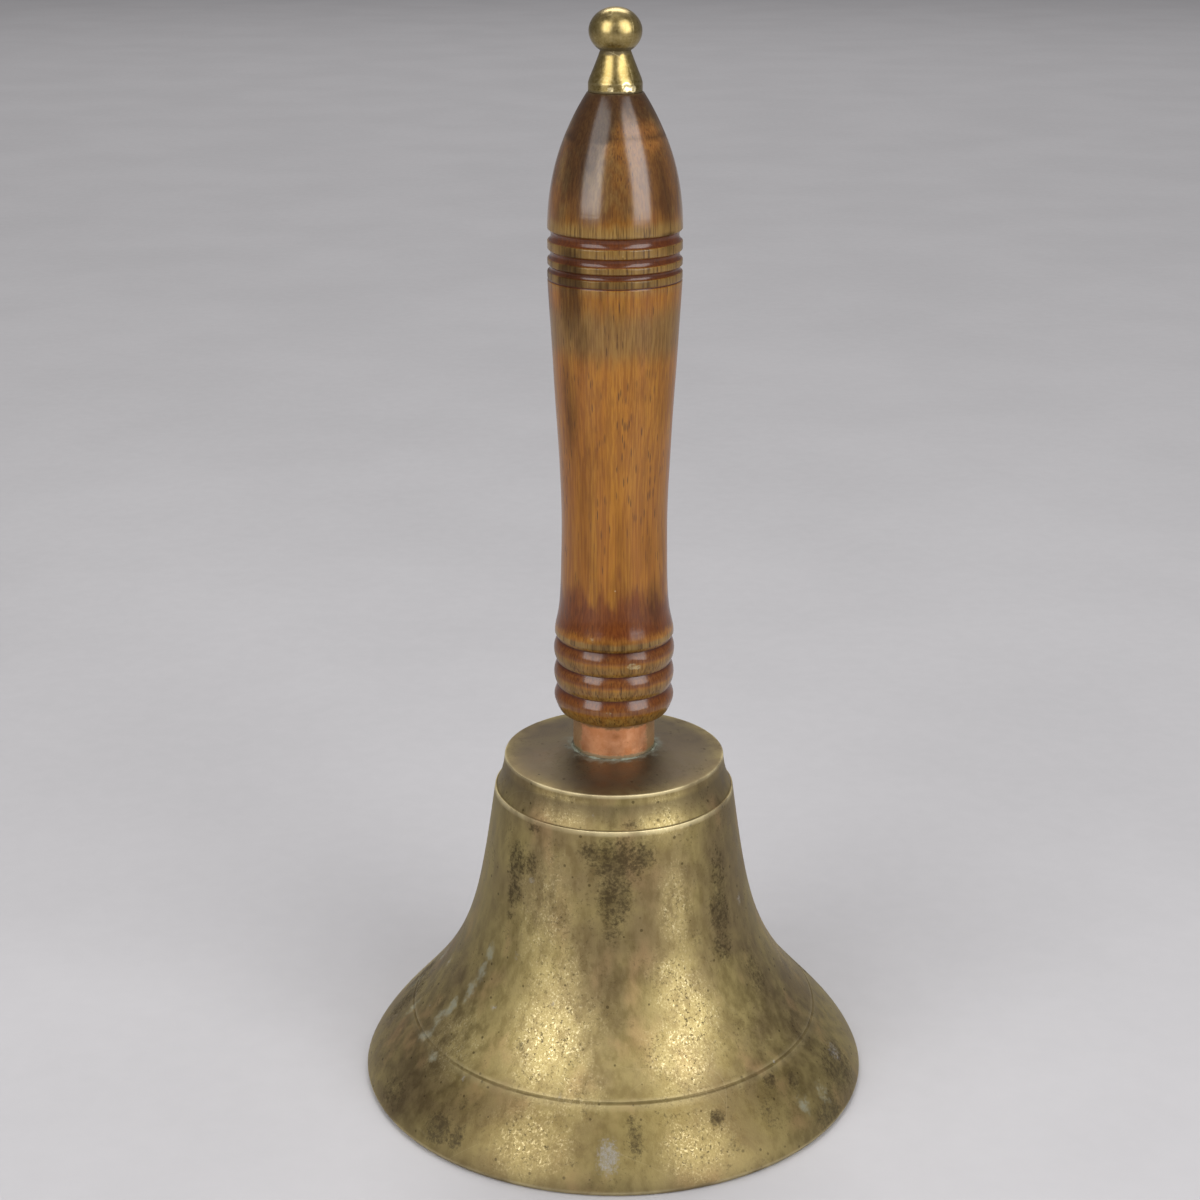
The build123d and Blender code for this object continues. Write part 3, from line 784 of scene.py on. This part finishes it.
def buildRaggedGroup():
    # a soft mask given a speckled edge: the mask less noise, eased across its middle
    shared, takes, gives = newGroup(
        "raggedEdge", {"Mask": 0.0, "Scale": 500.0, "Tear": 0.8, "Soft": 0.2}, "Mask"
    )
    fullness, quiet, middle = 1.15, 0.36, 0.46
    fine = shared.noise((takes["Scale"], 5.0, 0.68), takes["Vector"])
    shift = shared.times(shared.calc("SUBTRACT", fine, quiet), takes["Tear"])
    torn = shared.calc("SUBTRACT", shared.times(takes["Mask"], fullness), shift)
    eased = shared.node("ShaderNodeMapRange", {"interpolation_type": "SMOOTHSTEP"}, Value=torn)
    shared.feed(shared.calc("SUBTRACT", middle, takes["Soft"]), eased.inputs["From Min"])
    shared.feed(shared.calc("ADD", middle, takes["Soft"]), eased.inputs["From Max"])
    shared.feed(eased.outputs["Result"], gives)
    return shared.tree


def buildSpecksGroup():
    # scattered round specks: cells of Scale, a Share of them hold a speck of Size
    shared, takes, gives = newGroup(
        "scatteredSpecks", {"Scale": 300.0, "Size": 0.2, "Share": 0.2}, "Mask"
    )
    smallest, edge = 0.35, (0.6, 1.1, 1, 0)
    cells = shared.node("ShaderNodeTexVoronoi", None, Vector=takes["Vector"], Scale=takes["Scale"])
    lot = shared.node("ShaderNodeSeparateColor", None, Color=cells.outputs["Color"])
    chosen = shared.calc("LESS_THAN", lot.outputs["Red"], takes["Share"])
    size = shared.times(takes["Size"], shared.calc("ADD", lot.outputs["Green"], smallest))
    inside = shared.calc("DIVIDE", cells.outputs["Distance"], size)
    shared.feed(shared.times(chosen, shared.ease(inside, edge)), gives)
    return shared.tree


def buildScratchGroup():
    # hairline scratches: the middle line of a long stretched noise, in three directions
    shared, takes, gives = newGroup("hairScratches", {"Scale": 60.0, "Width": 0.006}, "Mask")
    runs = [((20, 35, 10), (1, 0.05, 1)), ((-40, 10, 60), (0.04, 1, 1)), ((75, -30, 30), (1, 1, 0.05))]
    edge, breaks, gaps = (0.3, 1.0, 1, 0), (90.0, 1.0), (0.5, 0.58)
    lines = []
    for turn, scale in runs:
        run = shared.stretched(takes["Vector"], scale, turn)
        wander = shared.noise((takes["Scale"], 0.0, 0.5), run)
        middle = shared.node("ShaderNodeMath", {"operation": "SUBTRACT"}, i0=wander, i1=0.5).outputs[0]
        away = shared.calc("DIVIDE", shared.calc("ABSOLUTE", middle), takes["Width"])
        lines.append(shared.times(shared.ease(away, edge), shared.ease(shared.noise(breaks, run), gaps)))
    shared.feed(shared.most(*lines), gives)
    return shared.tree


def buildTurnedGroup():
    # faint tool rings round Z: a noise that changes fast up the axis and slowly across it
    shared, takes, gives = newGroup("turningRings", {"Pitch": 900.0}, "Height")
    rings = shared.stretched(takes["Vector"], (0.01, 0.01, 1))
    shared.feed(shared.noise((takes["Pitch"], 3.0, 0.5), rings), gives)
    return shared.tree


raggedEdge = buildRaggedGroup()
scatteredSpecks = buildSpecksGroup()
hairScratches = buildScratchGroup()
turningRings = buildTurnedGroup()
print("shared effects built")


class Finish(Wiring):
    # one material in the making: its shader, its place on the piece and its colour so far
    def __init__(self, name, look):
        self.material = bpy.data.materials.new(name)
        self.material.use_nodes = True
        super().__init__(self.material.node_tree, look)
        self.shader = self.tree.nodes["Principled BSDF"]
        self.place = self.node("ShaderNodeTexCoord").outputs["Object"]

    def start(self, below, above, mask):
        self.colour = self.blend(mask, self.look[below], self.look[above])

    def lay(self, name, mask):
        # a colour laid over what is there, its fourth number saying how much at the thickest
        *colour, most = self.look[name]
        self.colour = self.blend(self.times(mask, most), self.colour, colour)

    def tint(self, name, mask):
        self.colour = self.blend(mask, self.colour, self.look[name], "MULTIPLY")

    def stain(self, name):
        return self.node("ShaderNodeAttribute", {"attribute_name": name}).outputs["Fac"]

    def shared(self, group, **inputs):
        inputs.setdefault("Vector", self.place)
        return self.node("ShaderNodeGroup", {"node_tree": group}, **inputs).outputs[0]

    def torn(self, name, **place):
        # a stain kept on the points, its edge broken up by scale, tear and softness
        scale, tear, soft = self.look[name + "Edge"]
        return self.shared(raggedEdge, Mask=self.stain(name), Scale=scale, Tear=tear, Soft=soft, **place)

    def specks(self, name):
        scale, size, share = self.look[name]
        return self.shared(scatteredSpecks, Scale=scale, Size=size, Share=share)

    def scratches(self):
        scale, width = self.look["scratches"]
        return self.shared(hairScratches, Scale=scale, Width=width)

    def rings(self):
        return self.shared(turningRings, Pitch=self.look["rings"])

    def finish(self, rough, metal, height):
        # joins what was worked out to the shader; depth is the relief's real height in metres
        bump = self.node("ShaderNodeBump", None, Strength=1.0, Distance=self.look["depth"], Height=height)
        joined = {"Base Color": self.colour, "Roughness": rough, "Metallic": metal}
        for socket, value in {**joined, "Normal": bump.outputs["Normal"]}.items():
            self.feed(value, self.shader.inputs[socket])
        return self.material


bareBrass = (0.86, 0.74, 0.45)
sootBlack = (0.040, 0.026, 0.010)
brassLook = {
    # colours, those that are laid on with how much at the thickest
    "film": (0.230, 0.172, 0.083), "olive": (0.335, 0.268, 0.112),
    "cloudy": (0.74, 0.71, 0.66), "shaded": (0.68, 0.66, 0.62),
    "rust": (0.42, 0.25, 0.13, 0.34), "gold": (0.51, 0.412, 0.180, 0.7),
    "sparkle": (*bareBrass, 0.9), "struck": (*bareBrass, 0.8), "ridge": (*bareBrass, 1.0),
    "scratch": (*bareBrass, 0.04), "crown": (0.108, 0.082, 0.056, 0.85),
    "inside": (0.15, 0.115, 0.062, 0.9), "soot": (*sootBlack, 0.85), "pit": (*sootBlack, 0.6),
    "verdigris": (0.19, 0.205, 0.165, 0.65), "bloom": (0.27, 0.27, 0.275, 0.65),
    # textures: scale, detail, roughness, distortion, stretch
    "broad": (48.0, 4.0, 0.55, 0.3), "middle": (300.0, 5.0, 0.62, 0.0, 0.45),
    "grain": (1650.0, 3.0, 0.7, 0.0, 0.7),
    # veils: a texture and its span
    "warmth": ((75.0, 3.0, 0.55, 0.0, 0.45), (0.52, 0.70)), "peppered": ((90.0,), (0.46, 0.62)),
    "patches": ((210.0, 4.0, 0.65), (0.44, 0.62, 0.35, 1.0)),
    "blotches": ((620.0, 4.0, 0.7), (0.38, 0.60, 0.5, 1.0)),
    "pepper": ((1000.0, 4.0, 0.75), (0.54, 0.66)),
    # spans
    "filmSpan": (0.34, 0.66), "cloudySpan": (0.32, 0.64, 1.0, 0.0), "wornSpan": (0.34, 0.60, 0.25, 1.0),
    "sparkleSpan": (0.50, 0.66), "grooveSpan": (0.4, 0.6, 0.35, 0.95),
    "bloomSpan": (0.40, 0.60, 0.45, 1.0), "ridgeSpan": (0.36, 0.56, 0.2, 0.75),
    "roughSpan": (0.3, 0.7, 0.46, 0.58), "metalSpan": (0.0, 1.0, 0.95, 0.45),
    # broken edges: scale, tear, softness; specks: scale, size, share; scratches: scale, width
    "struckEdge": (500.0, 0.8, 0.2), "sootEdge": (900.0, 2.1, 0.34), "verdigrisEdge": (480.0, 1.9, 0.40),
    "bloomEdge": (1100.0, 2.4, 0.40), "bloomSpecks": (110.0, 0.06, 0.10), "pits": (420.0, 0.22, 0.22),
    "scratches": (26.0, 0.0016), "loosePepper": 0.5, "rings": 700.0,
    "rough": {"sparkle": -0.22, "dull": 0.18}, "metal": {"soot": -0.15},
    "height": {"grain": 0.38, "middle": 0.25, "rings": 0.08, "pits": -0.2, "green": 0.15},
    "depth": 0.00010,
}


def buildAgedBrass():
    # cast brass gone olive under a brown film, gold where it is rubbed and as a painted highlight, with
    # soot, pits and green
    m = Finish("agedBrass", brassLook)
    broad = m.noise("broad")
    middle = m.noise("middle")
    grain = m.noise("grain")
    m.start("film", "olive", m.ease(broad, "filmSpan"))
    m.lay("rust", m.veil("warmth"))
    m.tint("cloudy", m.ease(middle, "cloudySpan"))
    rubbed = m.stain("rubbed")
    # gold and bare-brass sparkle where rubbed: rubbed wear, and a painted highlight where the placed marks
    # sit on the bright columns
    worn = m.times(rubbed, m.ease(middle, "wornSpan"))
    m.lay("gold", worn)
    sparkle = m.times(m.ease(grain, "sparkleSpan"), worn, m.veil("patches"))
    m.lay("sparkle", sparkle)
    # painted shade: the shaded tint darkens the lower front of the flare
    m.tint("shaded", m.stain("low"))
    crown = m.stain("crown")
    m.lay("crown", crown)
    m.lay("inside", m.stain("inside"))
    m.lay("struck", m.torn("struck"))
    soot = m.times(m.torn("soot"), m.veil("blotches"))
    pepper = m.veil("pepper")
    loose = m.times(pepper, m.veil("peppered"), brassLook["loosePepper"])
    pepper = m.times(pepper, m.calc("ADD", rubbed, m.stain("soot")))
    groove = m.times(m.stain("groove"), m.ease(broad, "grooveSpan"))
    soot = m.most(soot, loose, pepper, groove)
    m.lay("soot", soot)
    green = m.torn("verdigris")
    m.lay("verdigris", green)
    bloom = m.times(m.most(m.torn("bloom"), m.specks("bloomSpecks")), m.ease(grain, "bloomSpan"))
    m.lay("bloom", bloom)
    pits = m.specks("pits")
    m.lay("pit", pits)
    # bare brass along the ridges: edge wear, and a painted highlight line on the step and crown edges
    m.lay("ridge", m.times(m.stain("ridge"), m.ease(broad, "ridgeSpan")))
    m.lay("scratch", m.calc("SUBTRACT", m.scratches(), crown))
    chalky = m.most(green, bloom)
    dull = m.most(soot, chalky)
    rough = m.heaped("rough", m.ease(middle, "roughSpan"), sparkle=sparkle, dull=dull)
    metal = m.heaped("metal", m.ease(chalky, "metalSpan"), soot=soot)
    height = m.heaped("height", grain=grain, middle=middle, rings=m.rings(), pits=pits, green=green)
    return m.finish(rough, metal, height)


knobLook = {
    "olive": (0.20, 0.145, 0.046), "gold": (0.31, 0.228, 0.080),
    "soot": (0.06, 0.043, 0.018, 0.8), "bare": (0.82, 0.69, 0.38, 1.0),
    "broad": ((160.0, 5.0, 0.65), (0.36, 0.64)), "fine": (1300.0, 4.0, 0.7),
    "fineSpan": (0.4, 0.68, 0.0, 0.16),
    "roughSpan": (0.3, 0.7, 0.27, 0.36), "metalSpan": (0.0, 1.0, 1.0, 0.5),
    "sootEdge": (900.0, 1.0, 0.2), "rubbedEdge": (1200.0, 0.8, 0.2), "pits": (900.0, 0.20, 0.12),
    "scratches": (70.0, 0.003), "rings": 1500.0, "pitDirt": 0.5, "ridgeShine": 0.7,
    "scratchShine": 0.3, "rough": {"dirt": 0.25},
    "height": {"fine": 0.16, "rings": 0.25, "scratches": -0.3}, "depth": 0.00005,
}


def buildWornBrass():
    # the knob: handled brass, brighter than the bell, with fine scratches, dirt in its neck and a painted
    # shadow line at its foot
    k = knobLook
    m = Finish("wornBrass", k)
    fine = m.noise("fine")
    m.start("olive", "gold", m.veil("broad"))
    m.lay("bare", m.ease(fine, "fineSpan"))
    dirt = m.most(m.torn("soot"), m.times(m.specks("pits"), k["pitDirt"]))
    m.lay("soot", dirt)
    # the bare ridge shine is kept off the painted shadow line at the foot and off the neck dirt
    ridge = m.calc("SUBTRACT", m.times(m.stain("ridge"), k["ridgeShine"]), m.stain("soot"))
    scratches = m.scratches()
    m.lay("bare", m.most(ridge, m.torn("rubbed"), m.times(scratches, k["scratchShine"])))
    rough = m.heaped("rough", m.ease(fine, "roughSpan"), dirt=dirt)
    height = m.heaped("height", fine=fine, rings=m.rings(), scratches=scratches)
    return m.finish(rough, m.ease(dirt, "metalSpan"), height)


copperLook = {
    "pink": (0.60, 0.255, 0.110), "worn": (0.72, 0.36, 0.19), "brown": (0.17, 0.115, 0.045, 0.8),
    "green": (0.16, 0.15, 0.085, 0.8), "scratch": (0.72, 0.36, 0.19, 0.25),
    "broad": ((200.0, 5.0, 0.65), (0.34, 0.66)), "fine": (1200.0, 4.0, 0.7),
    "roughSpan": (0.3, 0.7, 0.38, 0.52), "metalSpan": (0.0, 1.0, 0.9, 0.45),
    "sootEdge": (500.0, 0.9, 0.2), "verdigrisEdge": (700.0, 0.9, 0.2), "pits": (800.0, 0.25, 0.2),
    "scratches": (60.0, 0.003), "pitDirt": 0.5, "rough": {"dull": 0.2},
    "height": {"fine": 1.0, "scratches": -0.3}, "depth": 0.00006,
}


def buildAgedCopper():
    # pink at the front, olive brown with painted shade down the sides and soot at the top, green in the
    # corner with the crown
    m = Finish("agedCopper", copperLook)
    fine = m.noise("fine")
    m.start("pink", "worn", m.veil("broad"))
    # the soot layer here holds soot at the top and painted shade down the sides away from the front
    dirt = m.most(m.torn("soot"), m.times(m.specks("pits"), copperLook["pitDirt"]))
    m.lay("brown", dirt)
    green = m.torn("verdigris")
    m.lay("green", green)
    scratches = m.scratches()
    m.lay("scratch", scratches)
    dull = m.most(dirt, green)
    rough = m.heaped("rough", m.ease(fine, "roughSpan"), dull=dull)
    height = m.heaped("height", fine=fine, scratches=scratches)
    return m.finish(rough, m.ease(dull, "metalSpan"), height)


crustLook = {
    "dark": (0.085, 0.070, 0.042), "light": (0.120, 0.118, 0.080), "pale": (0.25, 0.28, 0.22, 0.5),
    "broad": ((350.0, 4.0, 0.6), (0.35, 0.65)), "fine": (1600.0, 5.0, 0.75),
    "roughSpan": (0.3, 0.7, 0.7, 0.95), "bloomEdge": (900.0, 0.8, 0.2), "depth": 0.0002,
}


def buildCrust():
    # dry powdery green and grey, quite matt
    m = Finish("verdigrisCrust", crustLook)
    fine = m.noise("fine")
    m.start("dark", "light", m.veil("broad"))
    m.lay("pale", m.torn("bloom"))
    return m.finish(m.ease(fine, "roughSpan"), 0.0, fine)


stainBrown = (0.100, 0.038, 0.004)
stainRed = (0.100, 0.018, 0.001)
stainDark = (0.026, 0.012, 0.005)
woodLook = {
    # colours, those that are laid on with how much at the thickest
    "honey": (0.258, 0.093, 0.005), "pale": (0.310, 0.134, 0.009), "grained": (0.70, 0.62, 0.53),
    "cloud": (*stainBrown, 1.0), "nose": (*stainBrown, 0.9), "mottle": (0.165, 0.098, 0.026, 0.6),
    "gold": (0.260, 0.105, 0.018, 0.75), "handled": (0.165, 0.098, 0.026, 0.75),
    "red": (*stainRed, 0.8), "olive": (0.220, 0.138, 0.038, 0.85), "cove": (*stainRed, 0.85),
    "dark": (*stainDark, 0.8), "groove": (0.055, 0.013, 0.003, 1.275), "tick": (*stainDark, 1.0),
    "pore": (0.045, 0.016, 0.003, 0.85), "rub": (0.34, 0.28, 0.15, 0.6),
    # textures: scale, detail, roughness, distortion, stretch up the grain
    "clouds": (70.0, 4.0, 0.55, 0.0, 0.25), "fibre": (1900.0, 3.0, 0.65, 0.0, 0.025),
    "brushed": (800.0,), "varnish": (500.0, 3.0, 0.6), "streakStretch": 0.16, "poreStretch": 0.10,
    # veils: a texture and its span
    "figure": ((210.0, 4.0, 0.6, 0.2, 0.06), (0.30, 0.74)),
    "mottles": ((130.0, 4.0, 0.6, 0.0, 0.5), (0.46, 0.66)),
    "flakes": ((1300.0, 3.0, 0.7), (0.40, 0.58, 0.3, 1.0)),
    # spans
    "cloudSpan": (0.36, 0.56, 0.4, 0.0), "noseSpan": (0.44, 0.66, 1.0, 0.6),
    "ridgeSpan": (0.3, 0.6, 0.5, 1.4), "grainSpan": (0.38, 0.62, 1.0, 0.0),
    "tickSpan": (0.34, 0.46, 0.6, 0.0), "poreSpan": (0.2, 0.42, 1.0, 0.0),
    "porousSpan": (0.42, 0.58, 0.25, 1.0), "roughSpan": (0.3, 0.7, 0.38, 0.55),
    "coatSpan": (0.36, 0.62, 0.5, 0.8),
    # broken edges: scale, tear, softness; specks: scale, size, share
    "goldEdge": (200.0, 0.9, 0.35), "handledEdge": (160.0, 1.1, 0.4), "redEdge": (420.0, 0.9, 0.35),
    "oliveEdge": (500.0, 0.8, 0.35), "darkEdge": (260.0, 1.0, 0.4), "chippedEdge": (900.0, 1.4, 0.2),
    "nicks": (150.0, 0.05, 0.03), "poreScale": 2100.0, "poreShare": 0.22, "rings": 800.0,
    "height": {"fibre": 0.35, "rings": 0.45, "pore": -0.35}, "depth": 0.00004,
    "coatHeight": {"varnish": 0.45, "brushed": 0.4, "fibre": 0.15}, "coatDepth": 0.00003,
    "coat": {"nose": 0.6, "dark": -0.5},
    "shader": {"Coat Roughness": 0.18, "Coat IOR": 1.56, "Specular IOR Level": 0.06},
}


def buildTurnedWood():
    # a straight-grained tropical hardwood, stained unevenly and varnished
    w = woodLook
    m = Finish("turnedWood", w)
    cloud = m.noise("clouds")
    fibre = m.noise("fibre")
    streaky = m.stretched(m.place, (1, 1, w["streakStretch"]))
    m.start("honey", "pale", m.veil("figure"))
    m.lay("cloud", m.ease(cloud, "cloudSpan"))
    onNose = m.times(m.stain("nose"), m.ease(cloud, "noseSpan"))
    m.lay("nose", onNose)
    m.lay("mottle", m.times(m.veil("mottles"), m.stain("nose")))
    for name in ("gold", "handled", "red"):
        m.lay(name, m.torn(name, Vector=streaky))
    ridge = m.times(m.stain("ridge"), m.ease(fibre, "ridgeSpan"))
    olive = m.most(m.torn("olive", Vector=streaky), ridge)
    m.lay("olive", olive)
    m.lay("cove", m.stain("cove"))
    dark = m.torn("dark", Vector=streaky)
    m.lay("dark", dark)
    m.lay("groove", m.stain("groove"))
    m.tint("grained", m.ease(fibre, "grainSpan"))
    m.lay("tick", m.times(olive, m.ease(fibre, "tickSpan")))
    drawnOut = m.stretched(m.place, (1, 1, w["poreStretch"]))
    cells = m.node("ShaderNodeTexVoronoi", None, Vector=drawnOut, Scale=w["poreScale"])
    lot = m.node("ShaderNodeSeparateColor", None, Color=cells.outputs["Color"]).outputs["Red"]
    chosen = m.calc("LESS_THAN", lot, w["poreShare"])
    pore = m.times(m.ease(cells.outputs["Distance"], "poreSpan"), chosen, m.ease(cloud, "porousSpan"))
    m.lay("pore", pore)
    chipped = m.times(m.torn("chipped"), m.veil("flakes"))
    m.lay("rub", m.most(chipped, m.specks("nicks")))
    m.finish(m.ease(fibre, "roughSpan"), 0.0, m.heaped("height", fibre=fibre, rings=m.rings(), pore=pore))
    brushed = m.noise("brushed", m.stretched(m.place, (0.01, 0.01, 1)))
    height = m.heaped("coatHeight", varnish=m.noise("varnish"), brushed=brushed, fibre=fibre)
    coatBump = m.node("ShaderNodeBump", None, Strength=1.0, Distance=w["coatDepth"], Height=height)
    m.feed(coatBump.outputs["Normal"], m.shader.inputs["Coat Normal"])
    coat = m.heaped("coat", m.ease(cloud, "coatSpan"), nose=onNose, dark=dark)
    m.feed(coat, m.shader.inputs["Coat Weight"])
    for socket, value in w["shader"].items():
        m.shader.inputs[socket].default_value = value
    return m.material


steelLook = {
    "broad": (5.0, 0.65), "fine": (4.0, 0.7), "fineTimes": 7, "speckTimes": 3, "specks": (0.3, 0.2),
    "broadSpan": (0.35, 0.65), "rustSpan": (0.60, 0.72), "roughSpan": (0.3, 0.7, 0.32, 0.5),
    "rust": 0.8, "scored": 0.5, "brighter": 1.6, "scratches": (60.0, 0.004), "rustyMetal": 0.3,
    "rough": {"rust": 0.3}, "height": {"fine": 1.0, "scratches": -0.3},
    # two tones, rust, scale of the clouds, how metallic, depth of the bump
    "brightSteel": ((0.42, 0.40, 0.37), (0.58, 0.56, 0.52), (0.22, 0.11, 0.05), 220.0, 1.0, 0.00004),
    "darkSteel": ((0.13, 0.115, 0.10), (0.24, 0.22, 0.20), (0.15, 0.065, 0.025), 240.0, 0.95, 0.00008),
    "darkIron": ((0.075, 0.068, 0.062), (0.15, 0.14, 0.13), (0.12, 0.048, 0.018), 260.0, 0.9, 0.00012),
    "ballRadius": 13 * mm, "ballShares": (0.93, 0.985), "strikeEdge": (500.0, 0.9, 0.2),
    "polished": (0.52, 0.50, 0.47, 0.85),
}


def buildPlainMetal(name):
    # machined or forged steel: two tones in clouds, rust or scale in specks, fine scratches
    s = steelLook
    dull, bright, rust, scale, metallic, depth = s[name]
    scored = [min(1, c * s["brighter"]) for c in bright]
    m = Finish(name, {
        **s, "depth": depth, "dull": dull, "bright": bright, "rust": (*rust, s["rust"]),
        "scored": (*scored, s["scored"]), "rustSpecks": (scale * s["speckTimes"], *s["specks"]),
    })
    broad = m.noise((scale, *s["broad"]))
    fine = m.noise((scale * s["fineTimes"], *s["fine"]))
    m.start("dull", "bright", m.ease(broad, "broadSpan"))
    rusty = m.most(m.ease(fine, "rustSpan"), m.specks("rustSpecks"))
    m.lay("rust", rusty)
    scratches = m.scratches()
    m.lay("scored", scratches)
    rough = m.heaped("rough", m.ease(broad, "roughSpan"), rust=rusty)
    height = m.heaped("height", fine=fine, scratches=scratches)
    m.finish(rough, m.ease(rusty, (0, 1, metallic, s["rustyMetal"])), height)
    return m


def buildDarkIron():
    # forged iron, rubbed bright round the ball's middle where it strikes the bell
    m = buildPlainMetal("darkIron")
    parts = m.node("ShaderNodeSeparateXYZ", None, Vector=m.place).outputs
    flat = m.node("ShaderNodeCombineXYZ", None, X=parts["X"], Y=parts["Y"])
    length = m.node("ShaderNodeVectorMath", {"operation": "LENGTH"}, i0=flat.outputs["Vector"])
    span = [share * steelLook["ballRadius"] for share in steelLook["ballShares"]]
    band = m.ease(length.outputs["Value"], span)
    scale, tear, soft = steelLook["strikeEdge"]
    m.lay("polished", m.shared(raggedEdge, Mask=band, Scale=scale, Tear=tear, Soft=soft))
    m.feed(m.colour, m.shader.inputs["Base Color"])
    return m.material


def dress(piece, material):
    piece.data.materials.clear()
    piece.data.materials.append(material)


brightSteel = buildPlainMetal("brightSteel").material
darkSteel = buildPlainMetal("darkSteel").material
darkIron = buildDarkIron()

dress(bellShell, buildAgedBrass())
dress(ferrule, buildAgedCopper())
dress(crust, buildCrust())
dress(handle, buildTurnedWood())
dress(finial, buildWornBrass())
for node, material in {
    "tie_rod": brightSteel, "crown_nut": brightSteel, "crown_washer": brightSteel,
    "clapper_stirrup": darkSteel, "stirrup_pin": darkSteel,
    "clapper_stem": darkIron, "clapper_ball": darkIron,
}.items():
    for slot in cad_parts[node].material_slots:
        slot.material = material
print("materials on")


# Floor, light and camera
floorLook = {
    "half": 9.0, "pale": (0.46, 0.45, 0.46), "shade": 0.94, "clouds": ((6.0, 5.0, 0.6), (0.3, 0.7)),
    "fine": (120.0, 4.0, 0.6), "roughSpan": (0.3, 0.7, 0.6, 0.75), "depth": 0.00005,
}
stageLook = {
    "room": (0.80, 0.785, 0.81), "roomStrength": 0.30, "aim": 0.16,
    # lamps: azimuth from the front, distance, height, width, height of the panel, power
    "boxes": {
        "leftBox": (-43, 1.25, 0.88, 0.92, 1.35, 17.0), "rightBox": (46, 1.25, 0.84, 0.86, 1.50, 19.5),
        "topBox": (0, 0.2, 2.0, 1.0, 1.0, 2.0), "backBox": (180, 3.6, 4.6, 4.0, 2.0, 150.0),
    },
}


def buildFloor():
    half = floorLook["half"]
    mesh = bpy.data.meshes.new("paleFloor")
    corners = [(-half, -half, 0), (half, -half, 0), (half, half, 0), (-half, half, 0)]
    mesh.from_pydata(corners, [], [(0, 1, 2, 3)])
    floor = bpy.data.objects.new("paleFloor", mesh)
    bpy.context.scene.collection.objects.link(floor)
    m = Finish("paleFloorPaint", {**floorLook, "dim": [c * floorLook["shade"] for c in floorLook["pale"]]})
    fine = m.noise("fine")
    m.start("dim", "pale", m.veil("clouds"))
    dress(floor, m.finish(m.ease(fine, "roughSpan"), 0.0, fine))


def softBox(name, azimuth, distance, height, wide, tall, power):
    # a rectangular lamp turned towards the handle's foot
    lamp = bpy.data.lights.new(name, "AREA")
    lamp.shape = "RECTANGLE"
    lamp.size = wide
    lamp.size_y = tall
    lamp.energy = power
    box = bpy.data.objects.new(name, lamp)
    turn = radians(azimuth)
    place = Vector((distance * np.sin(turn), -distance * np.cos(turn), height))
    box.location = place
    box.visible_camera = False
    box.rotation_euler = (Vector((0, 0, stageLook["aim"])) - place).to_track_quat("-Z", "Y").to_euler()
    bpy.context.scene.collection.objects.link(box)


buildFloor()
for name, settings in stageLook["boxes"].items():
    softBox(name, *settings)

world = bpy.data.worlds.new("studio")
bpy.context.scene.world = world
world.use_nodes = True
background = world.node_tree.nodes["Background"]
background.inputs["Color"].default_value = (*stageLook["room"], 1)
background.inputs["Strength"].default_value = stageLook["roomStrength"]
bpy.context.scene.view_settings.view_transform = "Standard"

view = {"lens": 64.2, "sensor": 36, "place": (-0.00405, -0.5752, 0.34845), "tilt": 70.753}
cameraData = bpy.data.cameras.new("mainCamera")
cameraData.lens = view["lens"]
cameraData.sensor_width = view["sensor"]
camera = bpy.data.objects.new("mainCamera", cameraData)
camera.location = view["place"]
camera.rotation_euler = (radians(view["tilt"]), 0, 0)
bpy.context.scene.collection.objects.link(camera)
bpy.context.scene.camera = camera
print("stage set")
